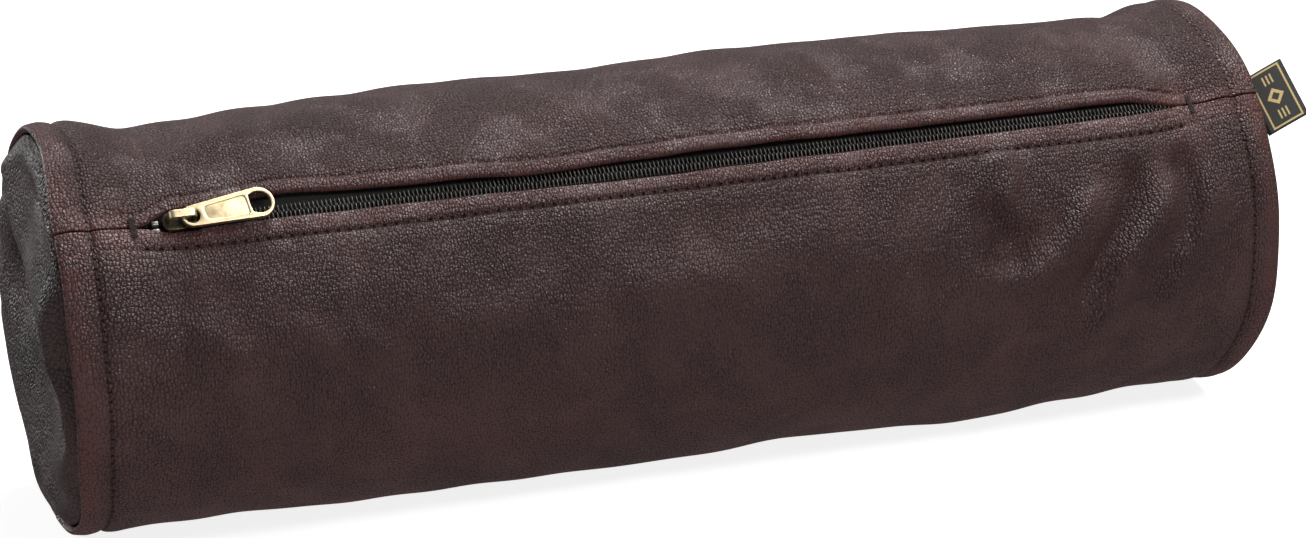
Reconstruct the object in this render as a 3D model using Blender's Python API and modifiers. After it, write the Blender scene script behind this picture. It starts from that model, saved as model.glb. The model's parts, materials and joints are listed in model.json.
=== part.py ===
"""A round leather case lying on its side, with a zipped mouth along its upper front.

The origin is on the floor under the middle of the barrel. +X runs along the barrel, towards
the end that carries the label, -Y is the front and +Z is up. An angle on the barrel is in
degrees from the front, up over the top and down the back. All lengths are in metres.
"""

import math

import bmesh
import bpy
from mathutils import Matrix, Vector

OBJECT_NAME = "barrel_case"

# The barrel: its radius, its length from rim to rim, and how far its underside is pressed flat.
BARREL_RADIUS = 0.065
BARREL_LENGTH = 0.400
UNDERSIDE_SAG = 0.0005
AXIS_HEIGHT = BARREL_RADIUS - UNDERSIDE_SAG
HALF_LENGTH = BARREL_LENGTH / 2
GAP = 0.0003
ARC_STEP = 7.7

# The wall: hide, foam and lining from outside in, each a gap under the one before.
HIDE = 0.0012
FOAM = 0.0020
LINING = 0.0004
TAPE = 0.0005
FOAM_RADIUS = BARREL_RADIUS - HIDE - GAP
LINING_RADIUS = FOAM_RADIUS - FOAM - GAP
LINED_HALF_LENGTH = 0.186

# The mouth: where the zip lies, where its two flaps hinge, and its ends along the barrel.
ZIP_ANGLE = 47.1
FLAP_ARC = 100.0
UPPER_HINGE = ZIP_ANGLE + FLAP_ARC
LOWER_HINGE = ZIP_ANGLE - FLAP_ARC
MOUTH_LEFT = -0.181
MOUTH_RIGHT = 0.174
MOUTH_CLEARANCE = 0.0004
HINGE_GAP = 0.0008
FLAT_HALF_ANGLE = math.degrees(math.acos(AXIS_HEIGHT / BARREL_RADIUS))

# The lips: each flap's edge is turned under into a hem, and the zip's tape is sewn below it.
LIP_HALF_GAP = 0.0041
HEM_WIDTH = 0.0060
HEM_RADIUS = BARREL_RADIUS - 2 * HIDE - GAP
FOLD_RADIUS = (BARREL_RADIUS - HEM_RADIUS) / 2
FOLD_STEPS = 6
FOAM_BACK = 0.0165
LINING_BACK = 0.0063
TAPE_RADIUS = HEM_RADIUS - GAP
TAPE_INNER_EDGE = 0.0012
TAPE_OUTER_EDGE = 0.0145

# The rims: a turned edge, then the groove that the topstitching pulls in.
RIM_BAND = 0.0090
GROOVE_RADIUS = 0.0634
RIM_THREAD_RADIUS = 0.00025
RIM_PROFILE = (
    (0.0000, 0.0643),
    (0.0007, 0.0649),
    (0.0020, BARREL_RADIUS),
    (RIM_BAND - 0.0022, BARREL_RADIUS),
    (RIM_BAND - 0.0010, GROOVE_RADIUS),
    (RIM_BAND + 0.0010, GROOVE_RADIUS),
    (RIM_BAND + 0.0028, 0.0646),
    (RIM_BAND + 0.0054, BARREL_RADIUS),
)
MIDDLE_STATIONS = (-0.120, -0.060, 0.0, 0.060, 0.120)

# The round ends: a bulging disc whose edge is turned into the barrel.
DISC_EDGE = GROOVE_RADIUS - HIDE - GAP
DISC_RISE = 0.0043
DISC_TURN_IN = 0.0115
END_LINING_EDGE = DISC_EDGE - HIDE - GAP
END_LINING_RISE = 0.0006
END_LINING_DEPTH = 0.0020
CORNER_RADIUS = 0.0022
TURNED_STEPS = 36

# The zip's chain, in the zip's own frame: x along it, y up the barrel, z out from the axis.
COIL_INNER = 0.00015
COIL_WIDTH = 0.0026
COIL_HEIGHT = 0.0020
COIL_BASE = TAPE_RADIUS + GAP
COIL_LEFT = -0.1692
COIL_RIGHT = 0.1707
TOP_STOP = (0.0022, 0.0024, 0.0020)
TOP_STOP_X = -0.1745
BOTTOM_STOP = (0.0022, 0.0056, 0.0022)
BOTTOM_STOP_X = 0.1722
BAR_TACK = (0.0018, 0.0090, 0.0006)
BAR_TACK_OUT = 0.0016
LIP_STITCH_BACK = 0.0060
UPPER_STITCH_BACK = 0.0048
LIP_THREAD_RADIUS = 0.00022
LIP_THREAD_INSET = 0.0030

# The slider: two plates joined by a diamond post, with a crown that the puller's ring hangs in.
SLIDER_X = -0.16635
SLIDER_LENGTH = 0.0120
SLIDER_WIDTH = 0.0076
TOP_PLATE = (0.0647, 0.0658)
BOTTOM_PLATE = (0.0601, 0.0611)
FLANGE_WIDTH = 0.0007
FLANGE_BOTTOM = 0.0626
DIAMOND = (0.0022, 0.0018)
DIAMOND_X = -0.0045
CROWN_HALF_LENGTH = 0.00435
CROWN_HALF_WIDTH = 0.0013
CROWN_WALL = 0.0009
CROWN_HEIGHT = 0.0039
CROWN_CORNER = 0.0015

# The puller, from the axis of its ring's bar: a ring, a recessed panel and an end hole.
PULLER_SKEW = 5.7
PULLER_HEIGHT = 0.0675
PULLER_HALF_THICKNESS = 0.0008
RING_RADIUS = 0.0035
RING_HOLE = 0.0025
RING_CENTRE = 0.0030
END_RADIUS = 0.0049
END_CENTRE = 0.0245
END_HOLE_RADIUS = 0.00345
END_HOLE_CENTRE = 0.02495
END_HOLE_FLAT = 0.0220
END_HOLE_HALF_FLAT = 0.0026
END_HOLE_ARC = 120.0
PANEL = ((0.0071, 0.0022), (0.0213, 0.0029))
PANEL_DEPTH = 0.00035

# The label: a folded tab that stands out of the right rim's seam.
LABEL_WIDTH = 0.0240
LABEL_REACH = 0.0144
LABEL_THICKNESS = 0.0009
LABEL_PLY = 0.00035
LABEL_TILT = 42.0
LABEL_BASE_X = HALF_LENGTH + 0.0008
LABEL_BASE_RADIUS = 0.0628


def clear_scene():
    """Removes whatever the scene starts with."""
    for obj in list(bpy.data.objects):
        bpy.data.objects.remove(obj)


def new_collection(name):
    """A collection of the scene."""
    collection = bpy.data.collections.new(name)
    bpy.context.scene.collection.children.link(collection)
    return collection


def material(name, colour, roughness, metallic=0.0):
    """A plain Principled material."""
    made = bpy.data.materials.new(name)
    made.use_nodes = True
    shader = made.node_tree.nodes["Principled BSDF"]
    shader.inputs["Base Color"].default_value = (*colour, 1.0)
    shader.inputs["Roughness"].default_value = roughness
    shader.inputs["Metallic"].default_value = metallic
    return made


def barrel_hide_material():
    """Dark brown nappa on the barrel."""
    return material("barrel_hide", (0.052, 0.026, 0.023), 0.48)


def end_hide_material():
    """The same hide on the ends, slightly greyer."""
    return material("end_hide", (0.045, 0.030, 0.030), 0.46)


def foam_material():
    """Grey closed-cell foam."""
    return material("foam", (0.16, 0.16, 0.17), 0.9)


def lining_material():
    """Black woven lining."""
    return material("lining", (0.018, 0.017, 0.018), 0.8)


def tape_material():
    """Black zip tape."""
    return material("zip_tape", (0.014, 0.013, 0.013), 0.75)


def coil_material():
    """Black nylon coil."""
    return material("zip_coil", (0.020, 0.019, 0.019), 0.35)


def brass_material():
    """Pale antique brass."""
    return material("brass", (0.62, 0.46, 0.24), 0.3, 1.0)


def steel_material():
    """Plated zip stops."""
    return material("stop_metal", (0.55, 0.54, 0.52), 0.35, 1.0)


def thread_material():
    """Brown sewing thread."""
    return material("thread", (0.075, 0.028, 0.020), 0.6)


def label_material():
    """Black woven label."""
    return material("label", (0.015, 0.015, 0.016), 0.7)


def add_object(name, data, collection, parent=None, finish=None):
    """An object in a collection, with its parent and its material."""
    obj = bpy.data.objects.new(name, data)
    collection.objects.link(obj)
    obj.parent = parent
    if finish is not None:
        data.materials.append(finish)
    return obj


def add_empty(name, collection, matrix, parent=None):
    """An empty that marks an axis or a frame."""
    empty = bpy.data.objects.new(name, None)
    empty.empty_display_size = 0.01
    collection.objects.link(empty)
    empty.parent = parent
    empty.matrix_local = matrix
    return empty


def make_helper(obj):
    """Marks an object as a cutter or a shape to join."""
    obj.hide_render = True
    obj.display_type = "WIRE"
    return obj


def on_barrel(x, angle, radius, lowest=0.0):
    """A point round the barrel's axis, no lower than lowest."""
    turn = math.radians(angle)
    height = AXIS_HEIGHT + radius * math.sin(turn)
    return Vector((x, -radius * math.cos(turn), max(height, lowest)))


def from_zip(distance):
    """The angle at a distance from the zip, measured round the barrel."""
    return ZIP_ANGLE + math.degrees(distance / BARREL_RADIUS)


def arc(start, end):
    """Evenly spaced angles from start to end, both included."""
    count = math.ceil(abs(end - start) / ARC_STEP)
    return [start + (end - start) * i / count for i in range(count + 1)]


def full_turn(radius):
    """A closed section: the mouth's arc, the back, the flat underside and up to the mouth."""
    stops = (
        LOWER_HINGE,
        UPPER_HINGE,
        270.0 - FLAT_HALF_ANGLE,
        270.0 + FLAT_HALF_ANGLE,
        LOWER_HINGE + 360.0,
    )
    angles = [stops[0]]
    for start, end in zip(stops, stops[1:]):
        angles += arc(start, end)[1:]
    return [(angle, radius) for angle in angles]


def in_mouth(point):
    """Whether a point of the wall lies in the opening that the flaps fill."""
    angle = math.degrees(math.atan2(point.z - AXIS_HEIGHT, -point.y))
    turned = (angle - LOWER_HINGE) % 360.0
    return MOUTH_LEFT < point.x < MOUTH_RIGHT and turned < 2 * FLAP_ARC


def shell(name, stations, section, thickness, finish, collection, lowest=0.0, swell=None, cut=None):
    """A wall swept along the barrel: section is (angle, radius) pairs, thickened inwards."""
    mesh = bpy.data.meshes.new(name)
    grid = bmesh.new()
    columns = len(stations) - 1
    rows = len(section) - 1
    bmesh.ops.create_grid(grid, x_segments=columns, y_segments=rows, size=0.5)
    for vert in grid.verts:
        x = stations[round((vert.co.x + 0.5) * columns)]
        angle, radius = section[round((vert.co.y + 0.5) * rows)]
        if swell is not None:
            radius += swell(x)
        vert.co = on_barrel(x, angle, radius, lowest)
    bmesh.ops.remove_doubles(grid, verts=grid.verts, dist=1e-6)
    if cut is not None:
        gone = [face for face in grid.faces if cut(face.calc_center_median())]
        bmesh.ops.delete(grid, geom=gone, context="FACES")
    grid.to_mesh(mesh)
    grid.free()
    mesh.shade_smooth()
    obj = add_object(name, mesh, collection, finish=finish)
    wall = obj.modifiers.new("thickness", "SOLIDIFY")
    wall.thickness = thickness
    wall.offset = -1.0
    return obj


def rim_swell(x):
    """How far the hide stands out or in from the barrel's radius at x."""
    inset = HALF_LENGTH - abs(x)
    for (start, low), (end, high) in zip(RIM_PROFILE, RIM_PROFILE[1:]):
        if inset <= end:
            share = max(inset - start, 0.0) / (end - start)
            return low + (high - low) * share - BARREL_RADIUS
    return 0.0


def barrel_stations():
    """Where the barrel hide's rings lie along X."""
    insets = [inset for inset, _ in RIM_PROFILE]
    left = [inset - HALF_LENGTH for inset in insets]
    right = [HALF_LENGTH - inset for inset in reversed(insets)]
    return [*left, MOUTH_LEFT, *MIDDLE_STATIONS, MOUTH_RIGHT, *right]


def lined_stations():
    """Where the rings of the foam and the lining lie along X."""
    ends = (-LINED_HALF_LENGTH, LINED_HALF_LENGTH)
    return [ends[0], MOUTH_LEFT, *MIDDLE_STATIONS, MOUTH_RIGHT, ends[1]]


def flap_stations():
    """Where a flap's rings lie along X."""
    left = MOUTH_LEFT + MOUTH_CLEARANCE
    right = MOUTH_RIGHT - MOUTH_CLEARANCE
    return [left, *MIDDLE_STATIONS, right]


def barrel_wall(parts, finishes):
    """The fixed part of the barrel: a tube of each layer, open where the flaps are."""
    foam_lowest = HIDE + GAP
    lining_lowest = foam_lowest + FOAM + GAP
    shell(
        "barrel_hide", barrel_stations(), full_turn(BARREL_RADIUS), HIDE,
        finishes["hide"], parts, swell=rim_swell, cut=in_mouth,
    )
    shell(
        "barrel_foam", lined_stations(), full_turn(FOAM_RADIUS), FOAM,
        finishes["foam"], parts, lowest=foam_lowest, cut=in_mouth,
    )
    shell(
        "barrel_lining", lined_stations(), full_turn(LINING_RADIUS), LINING,
        finishes["lining"], parts, lowest=lining_lowest, cut=in_mouth,
    )


def flap_path(side, back, radius):
    """A flap layer's section from a distance behind the zip to its hinge, angles rising."""
    hinge = UPPER_HINGE if side > 0 else LOWER_HINGE
    end = hinge - side * math.degrees(HINGE_GAP / BARREL_RADIUS)
    start = from_zip(side * back)
    angles = arc(start, end)
    return [(angle, radius) for angle in sorted(angles)]


def hemmed_path(side):
    """The flap hide's section: the outside, the fold at the lip and the hem below it."""
    centre = LIP_HALF_GAP + FOLD_RADIUS
    middle = BARREL_RADIUS - FOLD_RADIUS
    fold = [(from_zip(side * (centre + HEM_WIDTH)), HEM_RADIUS)]
    for step in range(FOLD_STEPS):
        turn = math.pi * step / FOLD_STEPS - math.pi / 2
        distance = centre - FOLD_RADIUS * math.cos(turn)
        fold.append((from_zip(side * distance), middle + FOLD_RADIUS * math.sin(turn)))
    outside = flap_path(side, centre, BARREL_RADIUS)
    return fold + outside if side > 0 else outside + fold[::-1]


def flap(side, name, parts, finishes):
    """One of the mouth's two flaps: its hide with a hem, its foam, its lining and its tape."""
    stations = flap_stations()
    edges = sorted((from_zip(side * TAPE_INNER_EDGE), from_zip(side * TAPE_OUTER_EDGE)))
    tape = [(angle, TAPE_RADIUS) for angle in arc(*edges)]
    foam = flap_path(side, FOAM_BACK, FOAM_RADIUS)
    lining = flap_path(side, LINING_BACK, LINING_RADIUS)
    shell(name + "_flap_hide", stations, hemmed_path(side), HIDE, finishes["hide"], parts)
    shell(name + "_flap_foam", stations, foam, FOAM, finishes["foam"], parts)
    shell(name + "_flap_lining", stations, lining, LINING, finishes["lining"], parts)
    shell(name + "_zip_tape", stations, tape, TAPE, finishes["tape"], parts)


def cup_profile(edge, rise, corner, turn_in):
    """Half the outline of a shallow cup, from its middle down its outer side, as (x, z)."""
    inner = edge - corner
    crown = [(inner * share, rise * (1 - share**2)) for share in (0.0, 0.35, 0.65, 0.85)]
    for step in range(5):
        turn = math.radians(90.0 - 22.5 * step)
        crown.append((inner + corner * math.cos(turn), corner * (math.sin(turn) - 1)))
    return [*crown, (edge, -turn_in)]


def turned_cup(name, profile, thickness, x, finish, parts):
    """A round end: the profile turned about the barrel's axis, bulging away from its middle."""
    mesh = bpy.data.meshes.new(name)
    points = [(radius, 0.0, height) for radius, height in profile]
    mesh.from_pydata(points, [(i, i + 1) for i in range(len(points) - 1)], [])
    obj = add_object(name, mesh, parts, finish=finish)
    obj.location = (x, 0.0, AXIS_HEIGHT)
    obj.rotation_euler = (0.0, math.copysign(math.pi / 2, x), 0.0)
    turn = obj.modifiers.new("turn", "SCREW")
    turn.axis = "Z"
    turn.steps = TURNED_STEPS
    turn.render_steps = TURNED_STEPS
    turn.use_merge_vertices = True
    turn.merge_threshold = 1e-6
    turn.use_smooth_shade = True
    wall = obj.modifiers.new("thickness", "SOLIDIFY")
    wall.thickness = thickness
    wall.offset = -1.0
    return obj


def round_end(side, name, parts, finishes):
    """A bulging end disc with its edge turned in, its lining and the rim's topstitching."""
    disc = cup_profile(DISC_EDGE, DISC_RISE, CORNER_RADIUS, DISC_TURN_IN)
    turned_cup(name + "_end_disc", disc, HIDE, side * HALF_LENGTH, finishes["end"], parts)
    depth = HALF_LENGTH - END_LINING_DEPTH
    turn_in = depth - LINED_HALF_LENGTH - GAP
    lining = cup_profile(END_LINING_EDGE, END_LINING_RISE, CORNER_RADIUS, turn_in)
    turned_cup(name + "_end_lining", lining, LINING, side * depth, finishes["lining"], parts)
    rim_thread(side, name, parts, finishes["thread"])


def rim_thread(side, name, parts, finish):
    """The ring of topstitching that lies in the rim's groove."""
    ring = GROOVE_RADIUS + GAP + RIM_THREAD_RADIUS
    bpy.ops.mesh.primitive_torus_add(
        major_radius=ring,
        minor_radius=RIM_THREAD_RADIUS,
        major_segments=TURNED_STEPS,
        minor_segments=6,
        location=(side * (HALF_LENGTH - RIM_BAND), 0.0, AXIS_HEIGHT),
        rotation=(0.0, math.pi / 2, 0.0),
    )
    thread = bpy.context.object
    thread.name = name + "_rim_thread"
    thread.data.materials.append(finish)
    thread.data.shade_smooth()
    for collection in list(thread.users_collection):
        collection.objects.unlink(thread)
    parts.objects.link(thread)


def block(name, size, centre, rounding, collection, parent, finish=None):
    """A box with rounded edges, placed in its parent's frame."""
    mesh = bpy.data.meshes.new(name)
    box = bmesh.new()
    bmesh.ops.create_cube(box, size=1.0)
    bmesh.ops.scale(box, vec=Vector(size), verts=box.verts)
    box.to_mesh(mesh)
    box.free()
    obj = add_object(name, mesh, collection, parent, finish)
    obj.location = centre
    bevel = obj.modifiers.new("rounding", "BEVEL")
    bevel.width = rounding
    bevel.segments = 2
    return obj


def join(obj, others):
    """Joins helper shapes to an object."""
    for other in others:
        union = obj.modifiers.new("with_" + other.name, "BOOLEAN")
        union.operation = "UNION"
        union.object = make_helper(other)


def outline(name, loops, half_thickness, collection, parent=None, finish=None):
    """A flat plate from closed outlines, those inside others being holes."""
    curve = bpy.data.curves.new(name, "CURVE")
    curve.dimensions = "2D"
    curve.fill_mode = "BOTH"
    curve.extrude = half_thickness
    for loop in loops:
        spline = curve.splines.new("POLY")
        spline.points.add(len(loop) - 1)
        for point, (x, y) in zip(spline.points, loop):
            point.co = (x, y, 0.0, 1.0)
        spline.use_cyclic_u = True
    return add_object(name, curve, collection, parent, finish)


def to_mesh(curve):
    """The curve object as a mesh object with its caps welded, in the same place."""
    bpy.context.view_layer.update()
    graph = bpy.context.evaluated_depsgraph_get()
    mesh = bpy.data.meshes.new_from_object(curve.evaluated_get(graph))
    welded = bmesh.new()
    welded.from_mesh(mesh)
    bmesh.ops.remove_doubles(welded, verts=welded.verts, dist=1e-7)
    welded.to_mesh(mesh)
    welded.free()
    name, parent = curve.name, curve.parent
    local, homes = curve.matrix_local.copy(), list(curve.users_collection)
    bpy.data.objects.remove(curve)
    obj = bpy.data.objects.new(name, mesh)
    obj.parent = parent
    obj.matrix_local = local
    for home in homes:
        home.objects.link(obj)
    return obj


def ring_points(centre, radius, start, end, steps):
    """Points on an arc about (centre, 0), from one angle to another."""
    turns = [math.radians(start + (end - start) * i / steps) for i in range(steps + 1)]
    return [(centre + radius * math.cos(t), radius * math.sin(t)) for t in turns]


def straight_thread(name, side, back, parts, finish):
    """The topstitching along a lip, lying just above the hide."""
    curve = bpy.data.curves.new(name, "CURVE")
    curve.dimensions = "3D"
    curve.bevel_depth = LIP_THREAD_RADIUS
    curve.bevel_resolution = 2
    curve.use_fill_caps = True
    spline = curve.splines.new("POLY")
    spline.points.add(1)
    radius = BARREL_RADIUS + GAP + LIP_THREAD_RADIUS
    angle = from_zip(side * (LIP_HALF_GAP + back))
    ends = (MOUTH_LEFT + LIP_THREAD_INSET, MOUTH_RIGHT - LIP_THREAD_INSET)
    for point, x in zip(spline.points, ends):
        point.co = (*on_barrel(x, angle, radius), 1.0)
    add_object(name, curve, parts, finish=finish)


def zip_chain(parts, zip_line, finishes):
    """The two halves of the coil, their stops, and the bars across the zip's ends."""
    middle = (COIL_LEFT + COIL_RIGHT) / 2
    size = (COIL_RIGHT - COIL_LEFT, COIL_WIDTH, COIL_HEIGHT)
    coil_y = COIL_INNER + COIL_WIDTH / 2
    for side, name in ((1, "upper"), (-1, "lower")):
        centre = (middle, side * coil_y, COIL_BASE + COIL_HEIGHT / 2)
        block(name + "_zip_coil", size, centre, 0.0007, parts, zip_line, finishes["coil"])
        centre = (TOP_STOP_X, side * coil_y, COIL_BASE + TOP_STOP[2] / 2)
        block(name + "_top_stop", TOP_STOP, centre, 0.0003, parts, zip_line, finishes["steel"])
    centre = (BOTTOM_STOP_X, 0.0, COIL_BASE + BOTTOM_STOP[2] / 2)
    block("bottom_stop", BOTTOM_STOP, centre, 0.0003, parts, zip_line, finishes["steel"])
    height = BARREL_RADIUS + GAP + BAR_TACK[2] / 2
    ends = (("left", MOUTH_LEFT - BAR_TACK_OUT), ("right", MOUTH_RIGHT + BAR_TACK_OUT))
    for name, x in ends:
        centre = (x, 0.0, height)
        block(name + "_bar_tack", BAR_TACK, centre, 0.0002, parts, zip_line, finishes["thread"])


def slider_body(parts, helpers, slider, finish):
    """Two plates joined by the diamond post, with flanges that guide the coil."""
    top_height = TOP_PLATE[1] - TOP_PLATE[0]
    bottom_height = BOTTOM_PLATE[1] - BOTTOM_PLATE[0]
    top_size = (SLIDER_LENGTH, SLIDER_WIDTH, top_height)
    top_centre = (0.0, 0.0, sum(TOP_PLATE) / 2)
    body = block("slider_body", top_size, top_centre, 0.0004, parts, slider, finish)
    bottom_size = (SLIDER_LENGTH, SLIDER_WIDTH, bottom_height)
    bottom_centre = (0.0, 0.0, sum(BOTTOM_PLATE) / 2)
    bottom = block("bottom_plate", bottom_size, bottom_centre, 0.0003, helpers, slider)
    post_height = TOP_PLATE[0] - BOTTOM_PLATE[1] + top_height
    post_centre = (DIAMOND_X, 0.0, (TOP_PLATE[0] + BOTTOM_PLATE[1]) / 2)
    post = block("post", (*DIAMOND, post_height), post_centre, 0.0002, helpers, slider)
    flange_height = TOP_PLATE[0] - FLANGE_BOTTOM + top_height / 2
    flanges = []
    for side, name in ((1, "upper_flange"), (-1, "lower_flange")):
        size = (SLIDER_LENGTH - 0.0012, FLANGE_WIDTH, flange_height)
        y = side * (SLIDER_WIDTH - FLANGE_WIDTH) / 2
        centre = (0.0, y, FLANGE_BOTTOM + flange_height / 2)
        flanges.append(block(name, size, centre, 0.0001, helpers, slider))
    join(body, [bottom, post, *flanges])


def crown_outline():
    """The crown seen from the side: a flat-topped arch with rounded shoulders."""
    base = GAP
    points = []
    shapes = ((CROWN_HALF_LENGTH, CROWN_HEIGHT, CROWN_CORNER, 1),)
    inner_corner = CROWN_CORNER - CROWN_WALL
    inner = (CROWN_HALF_LENGTH - CROWN_WALL, CROWN_HEIGHT - CROWN_WALL, inner_corner, -1)
    for half, top, corner, direction in (*shapes, inner):
        shoulder = []
        for sign, start in ((1, 0.0), (-1, 90.0)):
            for step in range(5):
                turn = math.radians(start + 22.5 * step)
                x = sign * (half - corner) + corner * math.cos(turn)
                shoulder.append((x, top - corner + corner * math.sin(turn)))
        arch = [(half, base), *shoulder, (-half, base)]
        points += arch[::direction]
    return points


def slider_crown(parts, slider, finish):
    """The arch over the slider's top plate that holds the puller's ring."""
    crown = outline("slider_crown", [crown_outline()], CROWN_HALF_WIDTH, parts, slider, finish)
    crown.location = (0.0, 0.0, TOP_PLATE[1])
    crown.rotation_euler = (math.pi / 2, 0.0, 0.0)


def puller_loops():
    """The puller's outline, its ring's hole and its D-shaped end hole."""
    spread = math.degrees(math.asin((END_RADIUS - RING_RADIUS) / (END_CENTRE - RING_CENTRE)))
    tip = ring_points(END_CENTRE, END_RADIUS, -90.0 - spread, 90.0 + spread, 14)
    root = ring_points(RING_CENTRE, RING_RADIUS, 90.0 + spread, 270.0 - spread, 12)
    hole = ring_points(RING_CENTRE, RING_HOLE, 0.0, 337.5, 15)
    end_hole = ring_points(
        END_HOLE_CENTRE, END_HOLE_RADIUS, -END_HOLE_ARC, END_HOLE_ARC, 12
    )
    flat = [(END_HOLE_FLAT, END_HOLE_HALF_FLAT), (END_HOLE_FLAT, -END_HOLE_HALF_FLAT)]
    return [tip + root, hole, end_hole + flat]


def zip_puller(parts, helpers, pivot, finish):
    """The flat pull tab, whose ring turns in the crown."""
    puller = outline("zip_puller", puller_loops(), PULLER_HALF_THICKNESS, parts, pivot)
    puller = to_mesh(puller)
    puller.data.materials.append(finish)
    (left, left_half), (right, right_half) = PANEL
    corners = [(left, -left_half), (right, -right_half), (right, right_half), (left, left_half)]
    panel = outline("panel_recess", [corners], PULLER_HALF_THICKNESS, helpers, pivot)
    panel.location.z = 2 * PULLER_HALF_THICKNESS - PANEL_DEPTH
    cut = puller.modifiers.new("panel", "BOOLEAN")
    cut.operation = "DIFFERENCE"
    cut.object = make_helper(to_mesh(panel))


def label_outline():
    """The label seen from its side: two plies that meet in a round fold."""
    half = LABEL_THICKNESS / 2
    inner = half - LABEL_PLY
    fold = ring_points(LABEL_REACH - half, half, -90.0, 90.0, 8)
    inside = ring_points(LABEL_REACH - half, inner, 90.0, -90.0, 6)
    return [(0.0, -half), *fold, (0.0, half), (0.0, inner), *inside, (0.0, -inner)]


def rim_label(parts, finish):
    """The woven label, on an empty whose Y axis is the line that it bends about."""
    zip_turn = Matrix.Rotation(math.radians(90.0 - ZIP_ANGLE), 4, "X")
    lift = Matrix.Translation((LABEL_BASE_X, 0.0, LABEL_BASE_RADIUS))
    tilt = Matrix.Rotation(-math.radians(LABEL_TILT), 4, "Y")
    frame = Matrix.Translation((0.0, 0.0, AXIS_HEIGHT)) @ zip_turn @ lift @ tilt
    base = add_empty("label_axis", parts, frame)
    label = outline("rim_label", [label_outline()], LABEL_WIDTH / 2, parts, base, finish)
    label.rotation_euler = (math.pi / 2, 0.0, 0.0)


def build():
    """Makes every part of the case."""
    clear_scene()
    parts = new_collection(OBJECT_NAME)
    helpers = new_collection("helpers")
    finishes = {
        "hide": barrel_hide_material(),
        "end": end_hide_material(),
        "foam": foam_material(),
        "lining": lining_material(),
        "tape": tape_material(),
        "coil": coil_material(),
        "brass": brass_material(),
        "steel": steel_material(),
        "thread": thread_material(),
        "label": label_material(),
    }
    turn = Matrix.Rotation(math.radians(90.0 - ZIP_ANGLE), 4, "X")
    zip_line = add_empty("zip_line", parts, Matrix.Translation((0.0, 0.0, AXIS_HEIGHT)) @ turn)
    slider = add_empty("slider_travel", parts, Matrix.Translation((SLIDER_X, 0.0, 0.0)), zip_line)
    lift = Matrix.Translation((0.0, 0.0, PULLER_HEIGHT))
    skew = Matrix.Rotation(math.radians(PULLER_SKEW), 4, "Z")
    pivot = add_empty("puller_axis", parts, lift @ skew, slider)

    barrel_wall(parts, finishes)
    for side, name in ((1, "upper"), (-1, "lower")):
        flap(side, name, parts, finishes)
    straight_thread("upper_lip_thread", 1, UPPER_STITCH_BACK, parts, finishes["thread"])
    straight_thread("lower_lip_thread", -1, LIP_STITCH_BACK, parts, finishes["thread"])
    for side, name in ((-1, "left"), (1, "right")):
        round_end(side, name, parts, finishes)
    zip_chain(parts, zip_line, finishes)
    slider_body(parts, helpers, slider, finishes["brass"])
    slider_crown(parts, slider, finishes["brass"])
    zip_puller(parts, helpers, pivot, finishes["brass"])
    rim_label(parts, finishes["label"])


build()
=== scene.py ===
"""The looks of a round leather case with a lengthwise zip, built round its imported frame.

Shapes are worked out in millimetres, in two coordinates that follow the barrel: x along it, and arc, the
way round it from the zip's seam, positive up and over the top. MM turns them into the frame's metres.
"""

import json
import math

import bmesh
import bpy
import numpy as np
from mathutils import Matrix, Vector


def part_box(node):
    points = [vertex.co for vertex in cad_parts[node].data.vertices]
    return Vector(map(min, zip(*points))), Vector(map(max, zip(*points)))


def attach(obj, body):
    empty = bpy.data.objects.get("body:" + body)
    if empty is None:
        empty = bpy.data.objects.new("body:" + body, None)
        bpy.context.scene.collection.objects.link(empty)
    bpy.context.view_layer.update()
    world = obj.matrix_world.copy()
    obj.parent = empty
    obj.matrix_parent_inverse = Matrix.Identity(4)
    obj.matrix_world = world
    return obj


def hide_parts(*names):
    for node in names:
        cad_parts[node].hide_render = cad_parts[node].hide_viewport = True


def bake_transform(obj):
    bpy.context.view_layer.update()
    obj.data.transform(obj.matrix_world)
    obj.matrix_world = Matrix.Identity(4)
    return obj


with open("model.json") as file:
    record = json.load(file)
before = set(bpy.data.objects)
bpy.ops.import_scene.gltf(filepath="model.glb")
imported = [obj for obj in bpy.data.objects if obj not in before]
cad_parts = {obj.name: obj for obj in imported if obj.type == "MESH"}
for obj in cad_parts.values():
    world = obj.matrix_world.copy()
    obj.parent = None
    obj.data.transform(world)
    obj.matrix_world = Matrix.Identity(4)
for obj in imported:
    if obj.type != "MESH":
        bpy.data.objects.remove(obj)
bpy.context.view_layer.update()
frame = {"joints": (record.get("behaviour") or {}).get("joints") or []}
JOINTS = {joint["name"]: joint for joint in frame["joints"]}

MM = 0.001
RADIUS = 65.0
HALF_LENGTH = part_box("barrel_hide")[1].x / MM
AXIS_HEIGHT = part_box("barrel_hide")[1].z / MM - RADIUS
PULLER_AXIS = Vector(JOINTS["puller_swing"]["pos_m"]) / MM
SEAM_OUT = Vector((0.0, PULLER_AXIS.y, PULLER_AXIS.z - AXIS_HEIGHT)).normalized()
SEAM_UP = SEAM_OUT.cross(Vector((1.0, 0.0, 0.0)))
SEAM_TURN = math.atan2(SEAM_OUT.z, -SEAM_OUT.y)
UNDER_UPPER = (1.5 * math.pi - SEAM_TURN) * RADIUS
UNDER_LOWER = -(0.5 * math.pi + SEAM_TURN) * RADIUS
TOP_ARC = 72.0
BELLY_ARC = -131.0

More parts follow.
